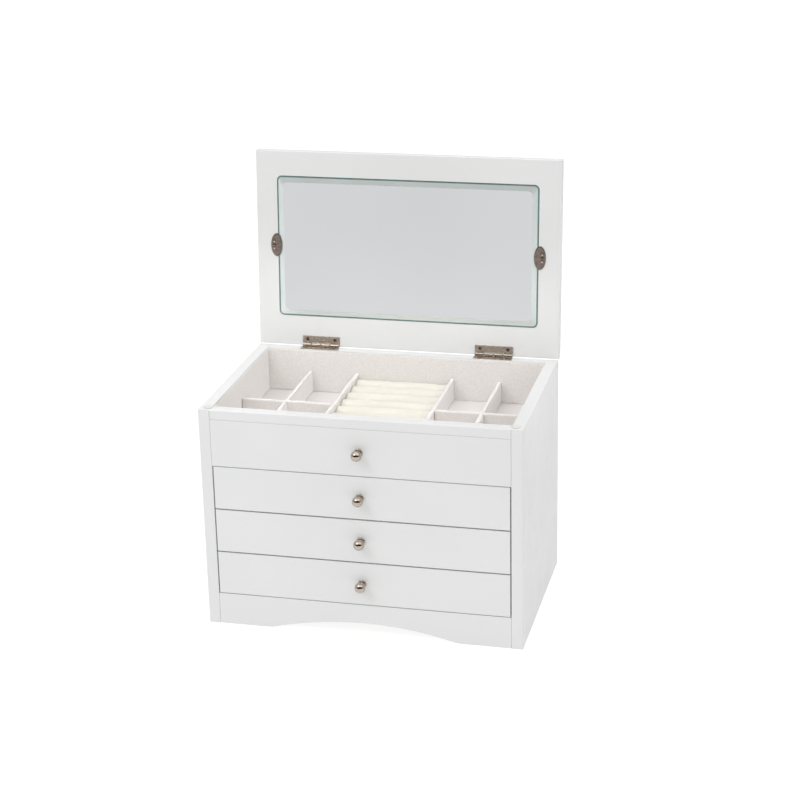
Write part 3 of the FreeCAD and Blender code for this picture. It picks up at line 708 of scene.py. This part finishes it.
fill_with_air(ring_pad, ROLL_SLACK)
smoother = ring_pad.modifiers.new("smoother", "SUBSURF")
smoother.levels = smoother.render_levels = 1
ring_pad.data.shade_smooth()
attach(ring_pad, "cabinet")
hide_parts("ring_rolls")

# %% [markdown]
# ## Knobs
# Each knob is turned in one from bar: a round rose with a softened rim, a short neck in a cove, and
# a ball. A lathe is the honest way to model it, so an outline of radius and height is swung round
# the axis. The socket for the screw is part of the outline, and both poles are closed.

# %% Metal finishes


def nickel(name, dark, light, smoothest, roughest):
    """Warm nickel plate: fine brushing, and a polish that wears unevenly."""
    made = finish(name, Metallic=1.0)
    blend(made, grain(made, 700.0, 3.0, (0.15, 1.0, 1.0)), dark, light)
    vary_roughness(made, grain(made, 260.0, 3.0), smoothest, roughest)
    relief(made, grain(made, 1400.0, stretch=(0.1, 1.0, 1.0)), depth=0.01 * MM, strength=0.06)
    return made


POLISHED = nickel("polished_nickel", (0.43, 0.372, 0.318), (0.52, 0.452, 0.388), 0.08, 0.14)
AGED = nickel("aged_nickel", (0.49, 0.425, 0.36), (0.56, 0.49, 0.42), 0.24, 0.32)
# A darker copy of the nickel paints shade: the clips face the dark side of the studio, and the screws'
# recesses lie in shade. The hinge pins use it too.
PAINTED_SHADE_NICKEL = nickel("painted_shade_nickel", (0.165, 0.133, 0.112), (0.250, 0.205, 0.175), 0.20, 0.30)
# A much lighter copy on the tops of the clips' pips paints their highlights.
PAINTED_HIGHLIGHT_NICKEL = nickel("painted_highlight_nickel", (0.74, 0.68, 0.60), (0.84, 0.78, 0.70), 0.20, 0.28)

# %% Lathe
LATHE_STEPS = 64


def arc(centre_radius, centre_height, radius, start, end, count):
    """Points of an arc in an outline, from one angle to another in degrees."""
    angles = [math.radians(start + (end - start) * part / count) for part in range(count + 1)]
    return [(centre_radius + radius * math.cos(a), centre_height + radius * math.sin(a)) for a in angles]


def turned(outline, foot, axis, vertices, faces):
    """Adds an outline of (radius, height) swung round the axis from its foot, as a closed shape."""
    lean = Vector(axis).to_track_quat("Z", "Y").to_matrix()
    rings = []
    for radius, height in outline:
        count = LATHE_STEPS if radius > 0 else 1
        rings.append([len(vertices) + at % count for at in range(LATHE_STEPS + 1)])
        for at in range(count):
            angle = 2 * math.pi * at / LATHE_STEPS
            around = Vector((radius * math.cos(angle), radius * math.sin(angle), height))
            vertices.append(foot + lean @ around)
    for low, high in zip(rings, rings[1:]):
        for at in range(LATHE_STEPS):
            corners = (low[at], low[at + 1], high[at + 1], high[at])
            faces.append(tuple(dict.fromkeys(corners)))


def turned_piece(name, shapes):
    """One piece of turned shapes, each given by its outline, foot and axis."""
    vertices, faces = [], []
    for outline, foot, axis in shapes:
        turned(outline, foot, axis, vertices, faces)
    return piece_of(name, vertices, faces)


# %% Knobs
ROSE_RADIUS = 4.6 * MM
ROSE_THICK = 1.5 * MM
NECK_RADIUS = 2.4 * MM
BALL_RADIUS = 5.5 * MM
SOCKET_RADIUS = 2.05 * MM
SOCKET_DEPTH = 7.0 * MM
RIM = 0.7 * MM
COVE = 0.6 * MM
SMALL_ARC, BALL_ARC = 6, 36


def knob_outline(projection):
    """Radius and height from the bottom of the screw's socket, round the rose, to the ball's top."""
    centre = projection - BALL_RADIUS
    throat = math.degrees(math.acos(NECK_RADIUS / BALL_RADIUS))
    socket = [(0.0, SOCKET_DEPTH), (SOCKET_RADIUS, SOCKET_DEPTH), (SOCKET_RADIUS, 0.0)]
    rose = [(ROSE_RADIUS, 0.0)] + arc(ROSE_RADIUS - RIM, ROSE_THICK - RIM, RIM, 0, 90, SMALL_ARC)
    cove = arc(NECK_RADIUS + COVE, ROSE_THICK + COVE, COVE, -90, -180, SMALL_ARC)
    ball = arc(0.0, centre, BALL_RADIUS, -throat, 90, BALL_ARC)
    return socket + rose + cove + ball[:-1] + [(0.0, projection)]


KNOBS = ["false_front_knob"] + [f"{drawer}_knob" for drawer in DRAWERS]
for node_name in KNOBS:
    low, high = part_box(node_name)
    foot = Vector(((low.x + high.x) / 2, high.y, (low.z + high.z) / 2))
    knob = turned_piece(f"{node_name}_turned", [(knob_outline(high.y - low.y), foot, (0, -1, 0))])
    shade(knob)
    hand_over(knob, "nickel", [node_name], POLISHED)

# %% [markdown]
# ## Hinges
# A butt hinge starts as flat sheet: tabs are cut along one edge of each leaf and rolled round the
# pin. It is made the same way here. The middle of the sheet is a grid with cells left out between
# the tabs, its far edge follows the curl, and Solidify gives it the gauge of the metal. The lid's
# leaf is the other leaf turned over, and then swung open with the lid.

# %% Hinge frame
HINGE = next(joint for joint in frame["joints"] if joint["name"] == "lid_hinge")
AXIS_POINT = Vector(HINGE["pos_m"])
LID_OPEN = 94.0
TO_AXIS = Matrix.Translation(AXIS_POINT)
LID_SWING = TO_AXIS @ Matrix.Rotation(math.radians(-LID_OPEN), 4, "X") @ TO_AXIS.inverted()
LID_CLOSING = LID_SWING.inverted()
SAME_PLACE = 0.001 * MM


def parts_of(node_name, undo=Matrix.Identity(4)):
    """Boxes of a CAD node's separate solids, after undoing the swing of the lid."""
    shape = bmesh.new()
    shape.from_mesh(NODES[node_name].data)
    shape.transform(undo)
    bmesh.ops.remove_doubles(shape, verts=shape.verts, dist=SAME_PLACE)
    unseen, boxes = set(shape.verts), []
    while unseen:
        reached, waiting = set(), [unseen.pop()]
        while waiting:
            vertex = waiting.pop()
            reached.add(vertex)
            near = [link.other_vert(vertex) for link in vertex.link_edges]
            fresh = [beside for beside in near if beside in unseen]
            unseen.difference_update(fresh)
            waiting.extend(fresh)
        corners = [vertex.co for vertex in reached]
        low = Vector(min(c[axis] for c in corners) for axis in range(3))
        high = Vector(max(c[axis] for c in corners) for axis in range(3))
        boxes.append((low, high))
    shape.free()
    return sorted(boxes, key=lambda box: (round(box[0].x, 4), round(box[0].z, 4)))


# %% Hinge leaves
GAUGE = 0.9 * MM
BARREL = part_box("hinge_left_body_leaf")[1].y - AXIS_POINT.y
KNUCKLE_GAP = 0.8 * MM
CURL_END = 208.0
CURL_STEPS = 26
KNUCKLES = 4
EDGE_BREAK = 0.13 * MM
SCREW_HEAD = 2.15 * MM
SCREW_HOLE = 1.15 * MM
HOLE_PAST = 0.2 * MM
LEAF_SHARP = 14.0


def leaf_rows(reach):
    """The leaf's section in y and z from the axis: its flat from the free edge, then its curl."""
    level = GAUGE / 2 - BARREL
    flat = [(-reach, level), (-(reach + BARREL) / 2, level), (-BARREL - KNUCKLE_GAP, level)]
    turn = BARREL - GAUGE / 2
    curl = arc(0.0, 0.0, turn, -90, CURL_END, CURL_STEPS)
    return flat, curl


def leaf_columns(length, tabs):
    """Stretches of the leaf along the axis: (start, end, whether it is a rolled tab)."""
    pitch = length / KNUCKLES
    columns, at = [], 0.0
    for number in tabs:
        start = number * pitch + KNUCKLE_GAP / 2
        end = (number + 1) * pitch - KNUCKLE_GAP / 2
        columns += [(at, start, False), (start, end, True)]
        at = end
    return columns + [(at, length, False)]


def rolled_sheet(name, low, high, tabs, over):
    """The middle surface of a leaf; over is 1 for the leaf on the rim and -1 for the lid's."""
    flat, curl = leaf_rows(AXIS_POINT.y - low.y)
    section = flat + curl
    vertices, faces, numbers = [], [], {}

    def corner(along, row):
        key = (round(along / SAME_PLACE), row)
        if key not in numbers:
            numbers[key] = len(vertices)
            y, z = section[row]
            vertices.append(AXIS_POINT + Vector((low.x + along - AXIS_POINT.x, y, over * z)))
        return numbers[key]

    for start, end, tab in leaf_columns(high.x - low.x, tabs):
        last = len(section) - 1 if tab else len(flat) - 1
        if end - start > SAME_PLACE:
            for row in range(last):
                face = [corner(start, row), corner(end, row), corner(end, row + 1), corner(start, row + 1)]
                faces.append(face if over > 0 else face[::-1])
    return piece_of(name, vertices, faces)


def screw_cones(low, high, screws, over):
    """A cutter that leaves a countersunk hole for each screw between the leaf's two ends."""
    bottom, top = -GAUGE - HOLE_PAST, HOLE_PAST
    cone = [(0.0, bottom), (SCREW_HOLE - HOLE_PAST, bottom), (SCREW_HEAD + HOLE_PAST, top), (0.0, top)]
    face_z = AXIS_POINT.z + over * (GAUGE - BARREL)
    middles = [(screw_low + screw_high) / 2 for screw_low, screw_high in screws]
    feet = [Vector((at.x, at.y, face_z)) for at in middles if low.x < at.x < high.x]
    return turned_piece("cutter", [(cone, foot, (0, 0, over)) for foot in feet])


def hinge_leaf(node_name, tabs, on_lid, screws):
    """Rolls one leaf with these tabs, sinks its screw holes, and swings it open if it's the lid's."""
    low, high = parts_of(node_name, LID_CLOSING if on_lid else Matrix.Identity(4))[0]
    over = -1.0 if on_lid else 1.0
    leaf = rolled_sheet(f"{node_name}_rolled", low, high, tabs, over)
    thicken(leaf, GAUGE)
    bevel(leaf, EDGE_BREAK)
    cut_away(leaf, screw_cones(low, high, screws, over))
    if on_lid:
        leaf.data.transform(LID_SWING)
    shade(leaf, LEAF_SHARP)
    hand_over(leaf, "nickel", [node_name], AGED)


BODY_SCREWS = parts_of("hinge_body_screws")
LID_SCREWS = parts_of("hinge_lid_screws", LID_CLOSING)
for side in ("left", "right"):
    hinge_leaf(f"hinge_{side}_body_leaf", (1, 2), False, BODY_SCREWS)
    hinge_leaf(f"hinge_{side}_lid_leaf", (0, 3), True, LID_SCREWS)

# %% Hinge pins
PIN_END, PIN_ARC = 0.4 * MM, 4


def hinge_pin(low, high):
    radius = (high.z - low.z) / 2
    length = high.x - low.x
    start = arc(radius - PIN_END, PIN_END, PIN_END, -90, 0, PIN_ARC)
    end = arc(radius - PIN_END, length - PIN_END, PIN_END, 0, 90, PIN_ARC)
    foot = Vector((low.x, (low.y + high.y) / 2, (low.z + high.z) / 2))
    return [(0.0, 0.0)] + start + end + [(0.0, length)], foot, (1, 0, 0)


pins = turned_piece("hinge_pins_turned", [hinge_pin(low, high) for low, high in parts_of("hinge_pins")])
shade(pins)
# The pins take the darker nickel that paints shade.
hand_over(pins, "nickel", ["hinge_pins"], PAINTED_SHADE_NICKEL)

# %% [markdown]
# ## Screws
# Fourteen screws hold the hinges, the mirror clips and the knobs. They differ only in size, so one
# Geometry Nodes tree makes them all. It joins a head, a slight crown and a shank, cuts the cross
# recess, and puts one on each point of a small mesh, each turned by its own random angle, as
# screws end up when they are driven home.

# %% Screw tree
HEAD_SPOKES, CROWN_RINGS, SHANK_SPOKES = 32, 12, 20
SCREW_SHARP = 30.0


def screw_tree():
    tree = new_tree("cross_head_screws", Head_Radius="Float", Seat_Radius="Float",
                    Head_Height="Float", Crown="Float", Shank_Radius="Float",
                    Shank_Length="Float", Slot_Length="Float", Slot_Width="Float",
                    Slot_Depth="Float", Facing="Vector", Seed="Int", Finish="Material")
    given = add(tree, "NodeGroupInput").outputs

    def times(value, factor):
        return add(tree, "ShaderNodeMath", {0: value, 1: factor}, operation="MULTIPLY").outputs[0]

    def vector(x, y, z):
        return add(tree, "ShaderNodeCombineXYZ", {"X": x, "Y": y, "Z": z}).outputs["Vector"]

    def moved(shape, **inputs):
        return add(tree, "GeometryNodeTransform", {"Geometry": shape, **inputs}).outputs["Geometry"]

    cone = add(tree, "GeometryNodeMeshCone",
               {"Vertices": HEAD_SPOKES, "Radius Top": given["Head Radius"],
                "Radius Bottom": given["Seat Radius"], "Depth": given["Head Height"]})
    down = vector(0.0, 0.0, times(given["Head Height"], -1.0))
    head = moved(cone.outputs["Mesh"], Translation=down)
    ball = add(tree, "GeometryNodeMeshUVSphere",
               {"Segments": HEAD_SPOKES, "Rings": CROWN_RINGS, "Radius": 1.0})
    cap_size = vector(given["Head Radius"], given["Head Radius"], given["Crown"])
    cap = moved(ball.outputs["Mesh"], Scale=cap_size)
    rod = add(tree, "GeometryNodeMeshCylinder",
              {"Vertices": SHANK_SPOKES, "Radius": given["Shank Radius"], "Depth": given["Shank Length"]})
    down = vector(0.0, 0.0, times(given["Shank Length"], -0.5))
    shank = moved(rod.outputs["Mesh"], Translation=down)
    whole = add(tree, "GeometryNodeMeshBoolean", operation="UNION", solver="EXACT")
    for part in (head, cap, shank):
        tree.links.new(part, whole.inputs["Mesh"])
    long_way = add(tree, "GeometryNodeMeshCube",
                   {"Size": vector(given["Slot Length"], given["Slot Width"], given["Slot Depth"])})
    cross_way = add(tree, "GeometryNodeMeshCube",
                    {"Size": vector(given["Slot Width"], given["Slot Length"], given["Slot Depth"])})
    recessed = add(tree, "GeometryNodeMeshBoolean", {"Mesh 1": whole.outputs["Mesh"]},
                   operation="DIFFERENCE", solver="EXACT")
    for slot in (long_way, cross_way):
        tree.links.new(slot.outputs["Mesh"], recessed.inputs["Mesh 2"])
    spin = add(tree, "FunctionNodeRandomValue", {"Max": math.pi, "Seed": given["Seed"]})
    about = add(tree, "FunctionNodeAxisAngleToRotation",
                {"Axis": (0.0, 0.0, 1.0), "Angle": spin.outputs["Value"]})
    facing = add(tree, "FunctionNodeAlignRotationToVector",
                 {"Rotation": about.outputs["Rotation"], "Vector": given["Facing"]}, axis="Z")
    placed = add(tree, "GeometryNodeInstanceOnPoints",
                 {"Points": given["Geometry"], "Instance": recessed.outputs["Mesh"],
                  "Rotation": facing.outputs["Rotation"]})
    real = add(tree, "GeometryNodeRealizeInstances", {"Geometry": placed.outputs["Instances"]})
    painted = add(tree, "GeometryNodeSetMaterial",
                  {"Geometry": real.outputs["Geometry"], "Material": given["Finish"]})
    add(tree, "NodeGroupOutput", {"Geometry": painted.outputs["Geometry"]})
    return tree


SCREW_TREE = screw_tree()


def drive_screws(node_name, seats, facing, sizes, metal, seed):
    """Puts a screw of these sizes in each of the seats; the seed picks their random turns."""
    made = piece_of(f"{node_name}_driven", seats, [])
    run_tree(made, SCREW_TREE, {**sizes, "Facing": Vector(facing), "Seed": seed, "Finish": metal})
    shade(made, SCREW_SHARP)
    hand_over(made, "nickel", [node_name])


# %% Hinge, clip and knob screws


def screw_sizes(**millimetres):
    """The tree's inputs, in metres, from plain names and millimetres."""
    return {name.replace("_", " ").title(): size * MM for name, size in millimetres.items()}


COUNTERSUNK = screw_sizes(head_radius=1.95, seat_radius=1.0, head_height=GAUGE / MM, crown=0.12,
                          shank_radius=1.0, shank_length=7.4,
                          slot_length=2.5, slot_width=0.6, slot_depth=1.2)
PAN_SMALL = screw_sizes(head_radius=1.8, seat_radius=1.9, head_height=0.4, crown=0.4,
                        shank_radius=0.9, shank_length=7.6,
                        slot_length=2.0, slot_width=0.5, slot_depth=0.9)
PAN_LARGE = screw_sizes(head_radius=3.5, seat_radius=3.7, head_height=1.3, crown=0.9,
                        shank_radius=2.0, shank_length=17.0,
                        slot_length=4.2, slot_width=0.9, slot_depth=2.0)
LID_FACING = LID_SWING.to_3x3() @ Vector((0.0, 0.0, -1.0))


def rim_seats(boxes, crown):
    """The middle of each box's top, less the crown."""
    return [Vector(((a.x + b.x) / 2, (a.y + b.y) / 2, b.z - crown)) for a, b in boxes]


def lid_seats(boxes, crown):
    """The lid's screws are driven from below when it is closed, and then swing open with it."""
    return [LID_SWING @ Vector(((a.x + b.x) / 2, (a.y + b.y) / 2, a.z + crown)) for a, b in boxes]


# The hinge and clip screws take the darker nickel, painted shade for their recesses.
seats = rim_seats(BODY_SCREWS, COUNTERSUNK["Crown"])
drive_screws("hinge_body_screws", seats, (0, 0, 1), COUNTERSUNK, PAINTED_SHADE_NICKEL, seed=3)
seats = lid_seats(LID_SCREWS, COUNTERSUNK["Crown"])
drive_screws("hinge_lid_screws", seats, LID_FACING, COUNTERSUNK, PAINTED_SHADE_NICKEL, seed=8)
CLIP_SCREWS = parts_of("mirror_clip_screws", LID_CLOSING)
seats = lid_seats(CLIP_SCREWS, PAN_SMALL["Crown"])
drive_screws("mirror_clip_screws", seats, LID_FACING, PAN_SMALL, PAINTED_SHADE_NICKEL, seed=5)
for number, knob_name in enumerate(KNOBS):
    low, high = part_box(f"{knob_name}_screw")
    seat = Vector(((low.x + high.x) / 2, high.y - PAN_LARGE["Crown"], (low.z + high.z) / 2))
    drive_screws(f"{knob_name}_screw", [seat], (0, 1, 0), PAN_LARGE, AGED, seed=11 + number)

# %% [markdown]
# ## Mirror
# The mirror is silvered glass with ground and bevelled edges. Seen from the front it has three
# zones: a dark green line, which is the ground edge seen through the glass, a pale band, which is
# the bevel, and the flat face. Each zone has its own faces in one closed mesh.

# %% Glass finishes


def silvered_glass():
    # The reflectance, far below a real mirror's, and its faint soft blotches are a painted reflection: the
    # grey of a room darker than this studio.
    made = finish("silvered_glass", Metallic=1.0, Roughness=0.02)
    blend(made, grain(made, 4.0), (0.552, 0.559, 0.571), (0.586, 0.593, 0.599))
    return made


def bevelled_glass():
    """A ground and polished slope: it scatters what it reflects, and the glass tints it green.
    Its pale colour, only partly metallic so that lamps light it like paint, is a painted
    reflection of the bright light the bevel shows.
    """
    made = finish("bevelled_glass", Metallic=0.3, Specular_IOR_Level=0.5)
    blend(made, grain(made, 12.0), (0.61, 0.66, 0.64), (0.665, 0.71, 0.69))
    vary_roughness(made, grain(made, 40.0), 0.16, 0.26)
    return made


def edge_glass():
    made = finish("edge_glass", Roughness=0.25, Specular_IOR_Level=0.5)
    blend(made, grain(made, 200.0), (0.105, 0.180, 0.172), (0.150, 0.235, 0.225))
    return made


# %% Mirror
CORNER = 5.0 * MM
CORNER_STEPS = 10
ARRIS = 0.25 * MM
GREEN_LINE = 1.3 * MM
BEVEL_WIDTH = 6.5 * MM
BEVEL_DROP = 0.9 * MM
FLAT, BAND, EDGE = 0, 1, 2


def rounded_outline(low, high, inset, radius, z):
    """Corner points of a rectangle with rounded corners, counter-clockwise from above."""
    points = []
    centres = [(1, 1, 0), (-1, 1, 90), (-1, -1, 180), (1, -1, 270)]
    middle = (low + high) / 2
    half = (high - low) / 2
    for side_x, side_y, start in centres:
        x = middle.x + side_x * (half.x - inset - radius)
        y = middle.y + side_y * (half.y - inset - radius)
        points += [Vector((px, py, z)) for px, py in arc(x, y, radius, start, start + 90, CORNER_STEPS)]
    return points


def mirror():
    """Loops from the back face, down the ground edge and the bevel, to the flat face."""
    low, high = parts_of("mirror", LID_CLOSING)[0]
    slope = BEVEL_DROP / BEVEL_WIDTH
    loops = [
        rounded_outline(low, high, ARRIS, CORNER - ARRIS, high.z),
        rounded_outline(low, high, 0.0, CORNER, high.z - ARRIS),
        rounded_outline(low, high, 0.0, CORNER, low.z + BEVEL_DROP),
        rounded_outline(low, high, GREEN_LINE, CORNER - GREEN_LINE, low.z + BEVEL_DROP - slope * GREEN_LINE),
        rounded_outline(low, high, BEVEL_WIDTH, CORNER - ARRIS, low.z),
    ]
    count = len(loops[0])
    vertices = [LID_SWING @ point for loop in loops for point in loop]
    faces = [list(range(count))]
    zones = [EDGE]
    for ring in range(len(loops) - 1):
        for at in range(count):
            beside = (at + 1) % count
            first, second = ring * count, (ring + 1) * count
            faces.append([first + beside, first + at, second + at, second + beside])
            zones.append(BAND if ring == len(loops) - 2 else EDGE)
    faces.append([(len(loops) - 1) * count + at for at in reversed(range(count))])
    zones.append(FLAT)
    glass = piece_of("bevelled_mirror", vertices, faces)
    glass.data.polygons.foreach_set("material_index", zones)
    hand_over(glass, "mirror_glass", ["mirror"], silvered_glass(), bevelled_glass(), edge_glass())


mirror()

# %% [markdown]
# ## Mirror clips
# Two oval clips are stamped from sheet: half lies on the wood, half steps up over the edge of the
# glass. The oval is a grid of rings, its height follows a smooth step across the mirror's edge,
# and two small pips stand beside the screw; their tops take a much lighter nickel, which paints
# their highlights. The clip's darker nickel is painted shade. Solidify gives it its gauge and
# Bevel its soft rim.

# %% Clips
CLIP_GAUGE = 0.8 * MM
CLIP_RINGS, CLIP_SPOKES = 14, 72
CLIP_CROWN = 0.05 * MM
CLIP_RIM, CLIP_RIM_STEPS = 0.2 * MM, 3
STEP_WIDTH = 1.3 * MM
PIP_HEIGHT, PIP_RADIUS, PIP_FROM_SCREW = 0.75 * MM, 1.05 * MM, 3.8 * MM


def smooth_step(value):
    held = min(max(value, 0.0), 1.0)
    return held * held * (3 - 2 * held)


def mirror_clip(node_name, screw):
    low, high = parts_of(node_name, LID_CLOSING)[0]
    glass_low, glass_high = parts_of("mirror", LID_CLOSING)[0]
    middle, half = (low + high) / 2, (high - low) / 2
    side = 1.0 if middle.x > 0 else -1.0
    glass_edge = glass_high.x if side > 0 else glass_low.x
    rise = high.z - low.z - CLIP_GAUGE

    def surface(x, y, part):
        """Height of the middle of the sheet, which is lower where it stands off the lid."""
        onto_glass = smooth_step(0.5 - side * (x - glass_edge) / STEP_WIDTH)
        crown = CLIP_CROWN * 4 * part ** 2 * (1 - part)
        pips = 0.0
        for way in (-1, 1):
            away = math.hypot(x - screw.x, y - screw.y - way * PIP_FROM_SCREW)
            pips += PIP_HEIGHT * math.exp(-2 * (away / PIP_RADIUS) ** 2)
        return high.z - CLIP_GAUGE / 2 - rise * onto_glass - pips - crown

    vertices = [Vector((middle.x, middle.y, surface(middle.x, middle.y, 0.0)))]
    for ring in range(1, CLIP_RINGS + 1):
        part = ring / CLIP_RINGS
        for spoke in range(CLIP_SPOKES):
            angle = 2 * math.pi * spoke / CLIP_SPOKES
            x = middle.x + half.x * part * math.cos(angle)
            y = middle.y + half.y * part * math.sin(angle)
            vertices.append(Vector((x, y, surface(x, y, part))))
    faces = [(0, 1 + (spoke + 1) % CLIP_SPOKES, 1 + spoke) for spoke in range(CLIP_SPOKES)]
    for ring in range(CLIP_RINGS - 1):
        first, second = 1 + ring * CLIP_SPOKES, 1 + (ring + 1) * CLIP_SPOKES
        for spoke in range(CLIP_SPOKES):
            beside = (spoke + 1) % CLIP_SPOKES
            faces.append((first + spoke, first + beside, second + beside, second + spoke))
    clip = piece_of(f"{node_name}_stamped", vertices, faces)
    pips = [Vector((screw.x, screw.y + way * PIP_FROM_SCREW)) for way in (-1, 1)]
    # Faces near the top of each pip take the lighter nickel, a painted highlight.
    for face in clip.data.polygons:
        face.material_index = int(min((face.center.xy - pip).length for pip in pips) < PIP_RADIUS / 2)
    thicken(clip, CLIP_GAUGE)
    bevel(clip, CLIP_RIM, CLIP_RIM_STEPS)
    clip.data.transform(LID_SWING)
    shade(clip)
    hand_over(clip, "nickel", [node_name], PAINTED_SHADE_NICKEL, PAINTED_HIGHLIGHT_NICKEL)


for node_name, (low, high) in zip(("mirror_clip_left", "mirror_clip_right"), CLIP_SCREWS):
    mirror_clip(node_name, (low + high) / 2)

# %% [markdown]
# ## Bumpers
# Two clear self-adhesive discs on the front corners of the rim keep the lid from knocking. They are
# turned too: a flat foot, a rounded shoulder and a slightly domed top. Soft polyurethane is hazy
# rather than glassy, so the finish scatters most of the light.

# %% Bumpers
SHOULDER, SHOULDER_TURN, SHOULDER_ARC = 0.5 * MM, 75, 5
DOME_DROP = 0.12 * MM
BUMPER_SHARP = 50.0


def clear_rubber():
    made = finish("clear_rubber", Roughness=0.4, IOR=1.45,
                  Subsurface_Weight=0.3, Subsurface_Scale=0.6 * MM)
    blend(made, grain(made, 300.0), (0.62, 0.62, 0.605), (0.68, 0.68, 0.665))
    return made


def bumper(low, high):
    radius, tall = (high.x - low.x) / 2, high.z - low.z
    side = [(0.0, 0.0), (radius, 0.0)]
    shoulder = arc(radius - SHOULDER, tall - DOME_DROP - SHOULDER, SHOULDER, 0, SHOULDER_TURN, SHOULDER_ARC)
    dome = [(radius / 2, tall - DOME_DROP / 4), (0.0, tall)]
    foot = Vector(((low.x + high.x) / 2, (low.y + high.y) / 2, low.z))
    return side + shoulder + dome, foot, (0, 0, 1)


bumpers = turned_piece("rim_bumpers_domed", [bumper(low, high) for low, high in parts_of("rim_bumpers")])
shade(bumpers, BUMPER_SHARP)
hand_over(bumpers, "clear_rubber", ["rim_bumpers"], clear_rubber())
